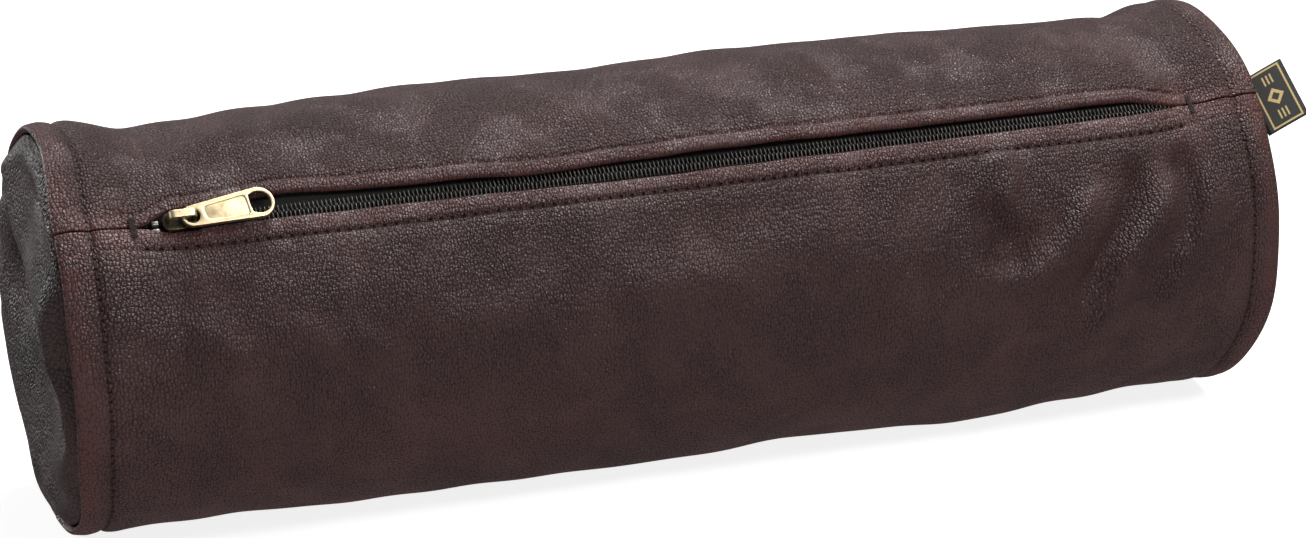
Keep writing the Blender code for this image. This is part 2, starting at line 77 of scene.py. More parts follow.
# The mouth, from the left bar to the right one, and the wall's layers.
BAR_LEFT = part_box("left_bar_tack")[1].x / MM
BAR_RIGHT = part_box("right_bar_tack")[0].x / MM
HINGE_ARC = 113.0
HIDE = 1.1
LINING = 0.4
FOLD = 1.4
HEM = 6.0
BAND = 9.0
RIM_PITCH = 3.2
LIP_PITCH = 3.7
LOWER_STITCH = 8.0
UPPER_CREASE = 5.0
BAND_STITCH = HALF_LENGTH - BAND
TAPE_RADIUS = 61.9
CHAIN_RADIUS = 63.4
COIL_PITCH = 1.4
LINING_RADIUS = 60.5
LINING_BACK = 7.5
LINING_HALF = 186.0

# The wall's two halves: name, side of the seam, and the body that the mouth's flap belongs to.
HALVES = (("upper", 1, "upper_flap"), ("lower", -1, "lower_flap"))


# ---------------------------------------------------------------- numbers and curves


def smooth(value, low, high):
    """0 below low, 1 above high and a smooth step between."""
    share = np.clip((np.asarray(value, float) - low) / (high - low), 0.0, 1.0)
    return share * share * (3.0 - 2.0 * share)


def bump(value, centre, width):
    """1 at the centre, falling to nothing a few widths away."""
    return np.exp(-(((np.asarray(value, float) - centre) / width) ** 2))


def smooth_path(points, steps=12):
    """A Catmull-Rom curve through given points."""
    points = np.array(points, float)
    padded = np.vstack([2 * points[0] - points[1], points, 2 * points[-1] - points[-2]])
    t = np.linspace(0.0, 1.0, steps, endpoint=False)[:, None]
    parts = []
    for a, b, c, d in zip(padded, padded[1:], padded[2:], padded[3:]):
        cubic = (3 * b - a - 3 * c + d) * t**3 + (2 * a - 5 * b + 4 * c - d) * t**2
        parts.append(0.5 * (cubic + (c - a) * t + 2 * b))
    parts.append(points[-1:])
    return np.vstack(parts)


def fold_line(u, v, points, height, left, right, fade=0.22):
    """The height of a fold that runs along a line of points over the (u, v) sheet.

    left and right are its widths on either side of the way that the points run, and fade is the share of
    the line over which it rises from nothing at each end.
    """
    line = smooth_path(points, 6)
    u, v = np.broadcast_arrays(np.asarray(u, float), np.asarray(v, float))
    reach = 2.6 * max(left, right)
    low, high = line.min(axis=0) - reach, line.max(axis=0) + reach
    near = (u > low[0]) & (u < high[0]) & (v > low[1]) & (v < high[1])
    result = np.zeros(u.shape)
    if not near.any():
        return result
    place = np.stack([u[near], v[near]], axis=1)
    best = np.full(len(place), np.inf)
    signed = np.zeros(len(place))
    along = np.zeros(len(place))
    for i, (start, end) in enumerate(zip(line, line[1:])):
        run = end - start
        offset = place - start
        share = np.clip(offset @ run / (run @ run), 0.0, 1.0)
        away = np.linalg.norm(offset - share[:, None] * run, axis=1)
        side = np.sign(run[0] * offset[:, 1] - run[1] * offset[:, 0])
        nearer = away < best
        best = np.where(nearer, away, best)
        signed = np.where(nearer, side * away, signed)
        along = np.where(nearer, (i + share) / (len(line) - 1), along)
    width = np.where(signed > 0, left, right)
    rise = smooth(along, 0.0, fade) * smooth(1.0 - along, 0.0, fade)
    result[near] = height * rise * np.exp(-((signed / width) ** 2))
    return result


# ---------------------------------------------------------------- the barrel's own shape

# Soft swells and dips of the leather: x, arc, width along x, width round, height.
SWELLS = (
    (-170, TOP_ARC, 11, 60, -3.1),
    (-150, TOP_ARC, 14, 50, -1.5),
    (-64, TOP_ARC, 34, 45, 1.0),
    (36, TOP_ARC, 40, 45, 1.7),
    (97, TOP_ARC, 16, 40, 0.5),
    (176, TOP_ARC, 8, 55, -2.2),
    (160, TOP_ARC, 14, 45, -0.8),
    (-172, -30, 9, 40, -1.0),
    (-148, BELLY_ARC, 26, 28, -1.8),
    (0, BELLY_ARC, 36, 25, 0.5),
    (40, BELLY_ARC, 14, 25, -1.0),
    (104, BELLY_ARC, 19, 30, 2.0),
    (160, BELLY_ARC, 20, 30, -1.3),
    (172, -70, 9, 35, -1.0),
    (-186, 3, 8, 9, -0.8),
    (180, 2, 7, 9, -0.8),
    (-150, 18, 24, 12, 0.9),
    (-120, -22, 40, 14, 0.6),
    (20, 22, 60, 16, 0.6),
    (120, 24, 30, 16, 0.7),
)

# Drape folds: points (x, arc), height, width above and below the line.
DRAPES = (
    (((103, -6), (105, -18), (99, -30)), 2.8, 4, 5),
    (((84, -42), (94, -48), (107, -50), (121, -42), (131, -29), (138, -16)), 4.2, 4, 8),
    (((132, -80), (138, -64), (144, -48), (156, -34), (162, -18)), 4.2, 4, 7),
    (((156, -74), (164, -56), (172, -40), (180, -22)), 3.0, 4, 6),
    (((126, -66), (136, -47), (147, -30), (150, -12)), -3.4, 3.5, 4.5),
    (((94, -20), (102, -35), (114, -38)), -2.8, 3.5, 4.5),
    (((166, -12), (169, -30), (166, -52)), -2.8, 3.5, 4.5),
    (((60, -60), (76, -72), (98, -80)), 1.2, 8, 12),
    (((114, -58), (124, -72), (128, -90)), 1.0, 7, 9),
    (((-188, -26), (-182, -32), (-177, -38)), 0.9, 5, 5),
    (((-170, -32), (-160, -38), (-151, -46)), 1.8, 5, 6),
    (((-139, -34), (-130, -40), (-124, -47)), 1.6, 5, 6),
    (((-121, -38), (-114, -44), (-106, -50)), 1.6, 5, 6),
    (((-172, -20), (-158, -17), (-144, -19)), 1.2, 5, 6),
    (((-98, -44), (-80, -40), (-52, -38)), 1.3, 7, 8),
    (((-36, -42), (-8, -36), (24, -30), (52, -26)), 1.3, 8, 9),
    (((-182, 6), (-176, 20), (-168, 40), (-164, 60)), -1.2, 6, 6),
    (((-178, 14), (-160, 30), (-132, 42)), 1.1, 7, 8),
    (((172, 8), (168, 24), (160, 44), (158, 66)), -1.2, 6, 7),
    (((180, 12), (184, 40), (182, 70)), 0.8, 4, 5),
    (((-120, 62), (-92, 50), (-60, 46)), 0.7, 9, 10),
    (((-30, -28), (0, -40), (34, -52)), 0.8, 9, 12),
    (((30, 40), (62, 52), (90, 70)), 0.7, 10, 10),
)


def ripples(x, arc):
    """The slow unevenness of soft leather over foam."""
    random = np.random.default_rng(11)
    total = 0.0
    for _ in range(14):
        length = random.uniform(22.0, 75.0)
        way = random.uniform(0.0, math.pi)
        start = random.uniform(0.0, 2.0 * math.pi)
        wave = (x * math.cos(way) + arc * math.sin(way)) * 2.0 * math.pi / length
        total = total + 0.11 * np.sin(wave + start)
    return total


def relief(x, arc):
    """How far the leather stands proud of a plain cylinder."""
    total = ripples(x, arc)
    for centre, way, wide, tall, height in SWELLS:
        total = total + height * bump(x, centre, wide) * bump(arc, way, tall)
    for points, height, above, below in DRAPES:
        total = total + fold_line(x, arc, points, height, above, below)
    from_floor = np.minimum(UNDER_UPPER - arc, arc - UNDER_LOWER)
    near_rim = smooth(HALF_LENGTH - np.abs(x), 6.0, 22.0)
    return total * smooth(from_floor, 0.0, 16.0) * (0.25 + 0.75 * near_rim)


def rim_pull(side, arc):
    """How far the slack end leather pulls a rim outward, all round it: most at the left rim's front."""
    pulled = 7.3 * bump(arc, -33.0, 72.0) if side < 0 else 0.8 * bump(arc, -60.0, 60.0)
    return pulled + 0.4 * np.sin(np.asarray(arc) / 13.0 + 1.0) + 0.25 * np.sin(np.asarray(arc) / 7.3)


def rim_lean(x, arc):
    """How far a place is moved along x by its rim's lean."""
    near = smooth(np.abs(x), HALF_LENGTH - 31.0, HALF_LENGTH + 3.0)
    return np.sign(x) * near * np.where(x < 0, rim_pull(-1, arc), rim_pull(1, arc))


def rim_lift(x):
    """The rims don't sag, so the barrel's ends stand a little higher than its belly."""
    return 1.9 * smooth(np.abs(x), 150.0, 196.0)


def barrel_point(x, arc, radius, rigid=False):
    """Points in metres at x and arc, radius from the barrel's axis. The underside lies flat on the floor."""
    turn = SEAM_TURN + arc / RADIUS
    height = AXIS_HEIGHT + radius * np.sin(turn) + rim_lift(x)
    if not rigid:
        height = np.maximum(height, 0.05)
    place = [x + rim_lean(x, arc), -radius * np.cos(turn), height]
    return np.stack(np.broadcast_arrays(*place), axis=-1) * MM


def zip_point(x, up, out):
    """Points in metres in the zip's frame: x along it, up across it, out from the barrel's axis."""
    place = (
        x,
        np.asarray(up) * SEAM_UP.y + np.asarray(out) * SEAM_OUT.y,
        AXIS_HEIGHT + np.asarray(up) * SEAM_UP.z + np.asarray(out) * SEAM_OUT.z,
    )
    return np.stack(np.broadcast_arrays(*place), axis=-1) * MM


def mouth_open(x):
    """How far open the mouth lies at x, from 0 at the bars to 1."""
    return smooth(x, BAR_LEFT + 2.0, BAR_LEFT + 13.0) * smooth(BAR_RIGHT - x, 2.0, 22.0)


def lip_edge(x, side):
    """How far a lip's edge lies from the seam. side is 1 for the upper lip and -1 for the lower.

    The lower lip lies along the coils and the upper one gapes, most of all beside the slider.
    """
    if side > 0:
        reach = 4.4 + 2.6 * bump(x, PULLER_AXIS.x + 33.0, 26.0) - 1.3 * bump(x, -53.0, 17.0)
        return 0.12 + reach * mouth_open(x) + 0.2 * np.sin(x / 17.0) * mouth_open(x)
    left = smooth(x, BAR_LEFT + 2.0, BAR_LEFT + 12.0)
    right = np.clip((BAR_RIGHT - 2.0 - x) / 80.0, 0.0, 1.0)
    reach = 1.0 + 1.1 * bump(x, -10.0, 46.0) + 0.9 * bump(x, PULLER_AXIS.x, 9.0)
    return 0.12 + reach * left * right


def chain_rise(x):
    """How far the chain lies above the seam's line, inside the mouth."""
    return 0.95 * smooth(x, BAR_LEFT + 2.0, BAR_LEFT + 12.0) * smooth(BAR_RIGHT - x, 2.0, 12.0)


def lip_shape(x, back, side):
    """The height of a lip's roll, its crease and the swell behind it, at a distance back from its edge.

    Past the bars the seam is sewn shut and pressed flat.
    """
    flat = smooth(x, BAR_LEFT - 4.0, BAR_LEFT + 6.0) * smooth(BAR_RIGHT - x, -4.0, 8.0)
    if side > 0:
        roll = 0.55 * bump(back, 2.8, 1.9) + 1.0 * mouth_open(x) * bump(back, 0.5, 7.0)
        crease = -0.75 * bump(back, UPPER_CREASE, 0.65)
        swell = 0.45 * bump(back, 9.0, 4.5)
    else:
        roll = 0.35 * bump(back, 3.1, 2.0)
        seamward = back + lip_edge(x, side)
        crease = -0.95 * bump(seamward, LOWER_STITCH, 0.8)
        swell = 0.5 * bump(seamward, LOWER_STITCH + 4.0, 4.0)
    pucker = 0.16 * np.sin(x * 2.0 * math.pi / LIP_PITCH) * bump(back, UPPER_CREASE + 3.0, 2.2)
    return (roll + crease + swell + pucker) * (0.12 + 0.88 * flat)


def lip_share(back):
    """How much of its lip's gape a point takes, at a distance back from the lip's edge."""
    return 1.0 - smooth(back, 12.0, 70.0)


def fold_width(x):
    """How far back from its edge a lip's fold reaches: pressed narrow where the seam is sewn shut."""
    open_part = smooth(x, BAR_LEFT - 3.0, BAR_LEFT + 10.0) * smooth(BAR_RIGHT - x, -3.0, 14.0)
    return 0.3 + 0.7 * open_part


def band_shape(inset):
    """The rim's turned edge, its crowned band and the stitched groove, at a distance in from the rim."""
    crown = 0.55 * bump(inset, 4.4, 2.6)
    groove = -0.85 * bump(inset, BAND, 1.0)
    shoulder = 0.35 * bump(inset, 13.0, 3.0)
    return crown + groove + shoulder


def flap_weight(x, arc):
    """How much of its flap's turn a point of the wall takes: most at mid-mouth, none at the mouth's ends."""
    along = (x - (BAR_LEFT + 2.0)) / (BAR_RIGHT - BAR_LEFT - 4.0)
    inside = (along > 0.0) & (along < 1.0)
    lens = np.where(inside, 1.0 - np.abs(2.0 * np.clip(along, 0.0, 1.0) - 1.0) ** 2.8, 0.0)
    return lens * smooth(HINGE_ARC - np.abs(arc), 0.0, 72.0)


# ---------------------------------------------------------------- meshes


def link(name, data):
    """An object in the scene, from a mesh, curve, light or camera."""
    made = bpy.data.objects.new(name, data)
    bpy.context.scene.collection.objects.link(made)
    return made


def build_mesh(name, points, faces, uvs=None, floats=None):
    """A smooth-shaded mesh from points and faces, with optional UVs and named numbers at each point."""
    mesh = bpy.data.meshes.new(name)
    mesh.from_pydata(np.asarray(points, float).tolist(), [], faces)
    mesh.validate()
    if uvs is not None:
        layer = mesh.uv_layers.new(name="sheet")
        corner = np.zeros(len(mesh.loops), np.int32)
        mesh.loops.foreach_get("vertex_index", corner)
        layer.data.foreach_set("uv", np.asarray(uvs, np.float32)[corner].ravel())
    for key, values in (floats or {}).items():
        attribute = mesh.attributes.new(key, "FLOAT", "POINT")
        attribute.data.foreach_set("value", np.asarray(values, np.float32))
    mesh.shade_smooth()
    mesh.update()
    return mesh


def grid_faces(rows, columns, offset=0, flip=False):
    """Quads over a grid of points, numbered row by row."""
    index = np.arange(rows * columns).reshape(rows, columns) + offset
    quads = np.stack([index[:-1, :-1], index[:-1, 1:], index[1:, 1:], index[1:, :-1]], axis=-1)
    quads = quads.reshape(-1, 4)
    return (quads[:, ::-1] if flip else quads).tolist()


def grid_normals(points):
    """Unit normals of a grid, along the cross product of its column and row directions."""
    down = np.gradient(points, axis=0)
    along = np.gradient(points, axis=1)
    normal = np.cross(along, down)
    return normal / np.maximum(np.linalg.norm(normal, axis=-1, keepdims=True), 1e-12)


def border(rows, columns):
    """The indices round a grid's edge, in order."""
    index = np.arange(rows * columns).reshape(rows, columns)
    ring = [*index[0, :-1], *index[:-1, -1], *index[-1, :0:-1], *index[:0:-1, 0]]
    return [int(i) for i in ring]


def with_inner(values):
    """A grid's values for a thick sheet: its outer grid, then every second point of it."""
    return np.concatenate([np.ravel(values), np.ravel(values[::2, ::2])])


def thick_sheet(name, outer, thickness, uvs, floats=None):
    """A closed sheet: a fine outer grid, a second grid at half its fineness under it, and a rim joining them.

    The outer grid has an odd number of rows and columns. Its normals point along column x row.
    """
    rows, columns = outer.shape[:2]
    inner = (outer - grid_normals(outer) * thickness)[::2, ::2]
    inner_rows, inner_columns = inner.shape[:2]
    count = rows * columns
    points = np.vstack([outer.reshape(-1, 3), inner.reshape(-1, 3)])
    faces = grid_faces(rows, columns) + grid_faces(inner_rows, inner_columns, count, flip=True)
    outside, inside = border(rows, columns), border(inner_rows, inner_columns)
    for k, low in enumerate(inside):
        far = inside[(k + 1) % len(inside)]
        first, middle, last = (outside[(2 * k + i) % len(outside)] for i in range(3))
        faces.append([middle, first, low + count])
        faces.append([middle, low + count, far + count])
        faces.append([last, middle, far + count])
    pairs = np.stack([with_inner(uvs[0]), with_inner(uvs[1])], axis=1) * MM
    kept = {key: with_inner(values) for key, values in (floats or {}).items()}
    return build_mesh(name, points, faces, pairs, kept)


def sweep(points, section, closed=False, ups=None):
    """Vertices and faces of a section carried along a path, with flat caps on an open one.

    section is a ring of (across, up) pairs. ups gives the section's up direction, else it turns as little
    as it can.
    """
    points, section = np.asarray(points, float), np.asarray(section, float)
    if closed:
        run = np.roll(points, -1, axis=0) - np.roll(points, 1, axis=0)
    else:
        run = np.gradient(points, axis=0)
    run /= np.linalg.norm(run, axis=1, keepdims=True)
    if ups is None:
        up = np.cross(run[0], (0.31, 0.83, 0.46))
        carried = []
        for direction in run:
            up = up - direction * (up @ direction)
            up /= np.linalg.norm(up)
            carried.append(up)
        ups = np.array(carried)
    across = np.cross(run, ups)
    across /= np.linalg.norm(across, axis=1, keepdims=True)
    ups = np.cross(across, run)
    rings = points[:, None] + across[:, None] * section[None, :, :1] + ups[:, None] * section[None, :, 1:]
    steps, sides = len(points), len(section)
    faces = []
    for i in range(steps if closed else steps - 1):
        a, b = i * sides, (i + 1) % steps * sides
        for j in range(sides):
            k = (j + 1) % sides
            faces.append([a + j, a + k, b + k, b + j])
    if not closed:
        faces.append(list(range(sides))[::-1])
        faces.append([(steps - 1) * sides + j for j in range(sides)])
    return rings.reshape(-1, 3), faces


def round_section(radius, sides=6):
    """A round section for a sweep."""
    turn = np.arange(sides) * 2.0 * math.pi / sides
    return np.stack([radius * np.cos(turn), radius * np.sin(turn)], axis=1)


def strap_section(width, thickness, corner, steps=4):
    """A rectangle with rounded corners for a sweep."""
    ring = []
    for k in range(4):
        start = k * math.pi / 2.0
        centre_x = (width / 2.0 - corner) * (1 if k in (0, 3) else -1)
        centre_y = (thickness / 2.0 - corner) * (1 if k < 2 else -1)
        for step in range(steps):
            turn = start + step * math.pi / 2.0 / (steps - 1)
            ring.append((centre_x + corner * math.cos(turn), centre_y + corner * math.sin(turn)))
    return ring


def gather(parts):
    """Several (vertices, faces) pairs as one."""
    points, faces, count = [], [], 0
    for vertices, polygons in parts:
        points.append(vertices)
        faces += [[i + count for i in polygon] for polygon in polygons]
        count += len(vertices)
    return np.vstack(points), faces


# ---------------------------------------------------------------- materials


def principled(name):
    """A node material and its shader."""
    made = bpy.data.materials.new(name)
    made.use_nodes = True
    shader = made.node_tree.nodes["Principled BSDF"]
    return made, made.node_tree, shader


def fill(tree, node, inputs):
    """Gives a node its inputs by name or number: values, or sockets to link."""
    for key, value in inputs.items():
        socket = node.inputs[key]
        if isinstance(value, bpy.types.NodeSocket):
            tree.links.new(value, socket)
        else:
            socket.default_value = value
    return node


def add(tree, kind, inputs=None, **settings):
    """A new node with its settings and inputs."""
    made = tree.nodes.new(kind)
    for key, value in settings.items():
        setattr(made, key, value)
    return fill(tree, made, inputs or {})


def attribute(tree, name):
    """A number that the mesh holds at each point."""
    return add(tree, "ShaderNodeAttribute", attribute_name=name).outputs["Fac"]


def bumped(tree, strength, distance, height):
    """A surface direction tilted by a height."""
    inputs = {"Strength": strength, "Distance": distance, "Height": height}
    return add(tree, "ShaderNodeBump", inputs).outputs["Normal"]


def cells(tree, vector, scale, feature, **inputs):
    """Scattered cells: the distance to a cell's middle or to its edge."""
    inputs.update(Vector=vector, Scale=scale)
    made = add(tree, "ShaderNodeTexVoronoi", inputs, voronoi_dimensions="2D", feature=feature)
    return made.outputs["Distance"]


def add_grey(tree, value):
    """A value as a grey colour."""
    return add(tree, "ShaderNodeCombineColor", {0: value, 1: value, 2: value}).outputs[0]


def arithmetic(tree, operation, *values):
    """A Math node's result."""
    return add(tree, "ShaderNodeMath", dict(enumerate(values)), operation=operation).outputs[0]


def sine(tree, place, step):
    """The sine of a place times a step."""
    return arithmetic(tree, "SINE", arithmetic(tree, "MULTIPLY", place, step))


def ranged(tree, value, low, high, to_low=0.0, to_high=1.0):
    """A value brought smoothly from one range to another."""
    inputs = {"Value": value, "From Min": low, "From Max": high, "To Min": to_low, "To Max": to_high}
    made = add(tree, "ShaderNodeMapRange", inputs, interpolation_type="SMOOTHSTEP")
    return made.outputs["Result"]


def blend_colours(tree, share, first, second, blend_type="MIX"):
    """Two colours mixed by a share."""
    inputs = {0: share, 6: first, 7: second}
    for index in (6, 7):
        if not isinstance(inputs[index], bpy.types.NodeSocket):
            inputs[index] = (*inputs[index], 1.0)
    return add(tree, "ShaderNodeMix", inputs, data_type="RGBA", blend_type=blend_type).outputs[2]


def sheet_coordinates(tree, across=1.0, along=1.0):
    """The sheet's own coordinates in millimetres, stretched by the two factors."""
    uv = add(tree, "ShaderNodeUVMap", uv_map="sheet").outputs["UV"]
    scale = (across / MM, along / MM, 1.0)
    return add(tree, "ShaderNodeMapping", {"Vector": uv, "Scale": scale}).outputs["Vector"]


def object_coordinates(tree):
    """The frame's coordinates in millimetres."""
    place = add(tree, "ShaderNodeTexCoord").outputs["Object"]
    return add(tree, "ShaderNodeMapping", {"Vector": place, "Scale": (1.0 / MM,) * 3}).outputs["Vector"]


def noise(tree, vector, scale, detail=3.0, roughness=0.55):
    """A noise texture's value."""
    inputs = {"Vector": vector, "Scale": scale, "Detail": detail, "Roughness": roughness}
    return add(tree, "ShaderNodeTexNoise", inputs)


def warped(tree, vector, scale, amount):
    """Coordinates pushed about by noise, in millimetres."""
    colour = noise(tree, vector, scale, 2.0).outputs["Color"]
    shifted = add(tree, "ShaderNodeVectorMath", {0: colour, 1: (0.5, 0.5, 0.5)}, operation="SUBTRACT")
    scaled = add(tree, "ShaderNodeVectorMath", {0: shifted.outputs[0], "Scale": amount}, operation="SCALE")
    moved = add(tree, "ShaderNodeVectorMath", {0: vector, 1: scaled.outputs[0]}, operation="ADD")
    return moved.outputs[0]


def hole_row(tree, distance, along, pitch, size):
    """1 in the needle holes of a row of stitches, from the distance to the row and the place along it."""
    to_hole = arithmetic(tree, "PINGPONG", along, pitch / 2.0)
    away = arithmetic(tree, "POWER", distance, 2.0)
    away = arithmetic(tree, "ADD", away, arithmetic(tree, "POWER", to_hole, 2.0))
    return ranged(tree, arithmetic(tree, "SQRT", away), size * 0.45, size, 1.0, 0.0)


LEATHER_BROWN = (0.057, 0.0240, 0.0230)
LEATHER_DARK = (0.043, 0.0180, 0.0180)
LEATHER_RED = (0.070, 0.0185, 0.0140)
LEATHER_GREY = (0.028, 0.0165, 0.0160)


def leather(name, main, dark, stitched, shine):
    """Drum-dyed nappa: a pebbled grain, slow changes of tone, a red burnish where it is rubbed, and painted
    shade in the grain's valleys and needle holes, with a painted highlight on the pebble tops.

    The mesh gives it "worn", the share of burnish, and "tight", where the grain is stretched fine.
    """
    made, tree, shader = principled(name)
    plane = sheet_coordinates(tree)
    stretched = warped(tree, sheet_coordinates(tree, 0.98, 0.66), 0.30, 0.8)
    fine = warped(tree, plane, 0.8, 0.5)

    valleys = cells(tree, stretched, 1.12, "DISTANCE_TO_EDGE", Randomness=0.85)
    domes = cells(tree, stretched, 1.12, "SMOOTH_F1", Randomness=0.85, Smoothness=0.25)
    small = cells(tree, fine, 1.7, "SMOOTH_F1", Randomness=1.0, Smoothness=0.3)
    domes = arithmetic(tree, "POWER", ranged(tree, domes, 0.0, 0.75), 2.0)
    pebble = arithmetic(tree, "MULTIPLY", ranged(tree, valleys, 0.0, 0.20), 0.42)
    pebble = arithmetic(tree, "MULTIPLY_ADD", arithmetic(tree, "SUBTRACT", 1.0, domes), 0.58, pebble)
    small = ranged(tree, small, 0.10, 0.60, 1.0, 0.0)
    patches = noise(tree, plane, 0.045, 2.0).outputs["Fac"]
    strength = ranged(tree, patches, 0.38, 0.62, 0.40, 1.15)
    loose = ranged(tree, attribute(tree, "tight"), 0.0, 1.0, 1.0, 0.45)
    strength = arithmetic(tree, "MULTIPLY", strength, loose)
    grain = arithmetic(tree, "MULTIPLY", pebble, 0.82)
    grain = arithmetic(tree, "MULTIPLY_ADD", small, 0.18, grain)
    creases = noise(tree, warped(tree, plane, 0.05, 9.0), 0.16, 4.0, 0.6).outputs["Fac"]
    height = arithmetic(tree, "MULTIPLY", grain, strength)
    height = arithmetic(tree, "MULTIPLY_ADD", creases, 1.1, height)

    holes = None
    if stitched:
        parts = add(tree, "ShaderNodeSeparateXYZ", {"Vector": plane}).outputs
        inset = arithmetic(tree, "SUBTRACT", arithmetic(tree, "ABSOLUTE", parts["X"]), BAND_STITCH)
        rim = hole_row(tree, inset, parts["Y"], RIM_PITCH, 0.55)
        lip = hole_row(tree, attribute(tree, "stitch"), parts["X"], LIP_PITCH, 0.68)
        holes = arithmetic(tree, "MAXIMUM", rim, lip)
        height = arithmetic(tree, "MULTIPLY_ADD", holes, -2.2, height)

    tone = noise(tree, plane, 0.022, 4.0, 0.6).outputs["Fac"]
    colour = blend_colours(tree, ranged(tree, tone, 0.34, 0.68), dark, main)
    rubbed = noise(tree, plane, 0.11, 4.0, 0.65).outputs["Fac"]
    rubbed = ranged(tree, rubbed, 0.30, 0.64, 0.25, 1.0)
    rubbed = arithmetic(tree, "MULTIPLY", attribute(tree, "worn"), rubbed)
    colour = blend_colours(tree, rubbed, colour, LEATHER_RED)
    # Painted shade: the colour is darkened in the grain's valleys, and a painted highlight lightens it on the
    # pebble tops.
    painted_valley_shade = ranged(tree, grain, 0.05, 0.72, 0.46, 1.20)
    colour = blend_colours(tree, 1.0, colour, add_grey(tree, painted_valley_shade), "MULTIPLY")
    if holes is not None:
        # Painted shade: the needle holes are coloured near black.
        colour = blend_colours(tree, holes, colour, (0.003, 0.002, 0.002))
    gloss = ranged(tree, grain, 0.25, 0.90, 0.70, shine)
    gloss = arithmetic(tree, "MULTIPLY_ADD", ranged(tree, tone, 0.3, 0.7), 0.06, gloss)
    fill(tree, shader, {
        "Base Color": colour,
        "Roughness": gloss,
        "Specular IOR Level": 0.5,
        "Normal": bumped(tree, 1.0, 0.00105, height),
    })
    return made


def brass(name, bright, dull):
    """Pale antique brass: fine brushing, and a dull film in the hollows."""
    made, tree, shader = principled(name)
    place = object_coordinates(tree)
    film = noise(tree, place, 0.35, 5.0, 0.65).outputs["Fac"]
    film = ranged(tree, arithmetic(tree, "MULTIPLY_ADD", attribute(tree, "hollow"), 0.16, film), 0.50, 0.95)
    brushed = add(tree, "ShaderNodeMapping", {"Vector": place, "Scale": (0.6, 6.0, 6.0)}).outputs["Vector"]
    lines = noise(tree, brushed, 1.5, 3.0, 0.6).outputs["Fac"]
    fill(tree, shader, {
        "Base Color": blend_colours(tree, film, bright, dull),
        "Roughness": ranged(tree, lines, 0.3, 0.7, 0.28, 0.42),
        "Normal": bumped(tree, 0.25, 0.00006, lines),
        "Metallic": 1.0,
    })
    return made


def nylon(name, colour):
    """Polished nylon monofilament, a little dusty."""
    made, tree, shader = principled(name)
    dust = noise(tree, object_coordinates(tree), 0.5, 4.0).outputs["Fac"]
    pale = tuple(channel * 2.2 for channel in colour)
    fill(tree, shader, {
        "Base Color": blend_colours(tree, ranged(tree, dust, 0.4, 0.7), colour, pale),
        "Roughness": ranged(tree, dust, 0.3, 0.7, 0.26, 0.40),
        "Specular IOR Level": 0.6,
    })
    return made


def woven(name, colour, pale, pitch, twill):
    """A woven cloth: crossing yarns, or the slanting ribs of a twill."""
    made, tree, shader = principled(name)
    plane = sheet_coordinates(tree)
    parts = add(tree, "ShaderNodeSeparateXYZ", {"Vector": plane}).outputs
    step = math.pi / pitch
    warp_place = arithmetic(tree, "MULTIPLY_ADD", parts["Y"], twill, parts["X"])
    warp = arithmetic(tree, "ABSOLUTE", sine(tree, warp_place, step))
    weft = arithmetic(tree, "ABSOLUTE", sine(tree, parts["Y"], step))
    height = arithmetic(tree, "MULTIPLY", warp, ranged(tree, weft, 0.0, 0.8, 0.35, 1.0))
    fuzz = noise(tree, plane, 2.0, 4.0).outputs["Fac"]
    height = arithmetic(tree, "MULTIPLY_ADD", fuzz, 0.25, height)
    fill(tree, shader, {
        "Base Color": blend_colours(tree, ranged(tree, height, 0.1, 1.0), colour, pale),
        "Roughness": 0.85,
        "Sheen Weight": 0.15,
        "Normal": bumped(tree, 0.8, 0.00018, height),
    })
    return made


def thread_material(name, colour):
    """Twisted sewing thread."""
    made, tree, shader = principled(name)
    place = object_coordinates(tree)
    wave = add(tree, "ShaderNodeTexWave", {"Vector": place, "Scale": 1.6, "Distortion": 2.0}).outputs["Fac"]
    pale = tuple(channel * 1.8 for channel in colour)
    colour = blend_colours(tree, wave, colour, pale)
    fill(tree, shader, {"Base Color": colour, "Roughness": 0.6, "Normal": bumped(tree, 0.5, 0.00008, wave)})
    return made


def steel(name):
    """Dull tinned steel for the stops."""
    made, tree, shader = principled(name)
    film = noise(tree, object_coordinates(tree), 1.1, 4.0).outputs["Fac"]
    colour = blend_colours(tree, ranged(tree, film, 0.35, 0.7), (0.20, 0.19, 0.18), (0.07, 0.065, 0.06))
    roughness = ranged(tree, film, 0.3, 0.7, 0.25, 0.45)
    fill(tree, shader, {"Base Color": colour, "Roughness": roughness, "Metallic": 1.0})
    return made


def box_mask(tree, x, y, half_x, half_y, soft=0.12):
    """1 inside a rectangle about the origin."""
    in_x = ranged(tree, arithmetic(tree, "ABSOLUTE", x), half_x - soft, half_x + soft, 1.0, 0.0)
    in_y = ranged(tree, arithmetic(tree, "ABSOLUTE", y), half_y - soft, half_y + soft, 1.0, 0.0)
    return arithmetic(tree, "MULTIPLY", in_x, in_y)


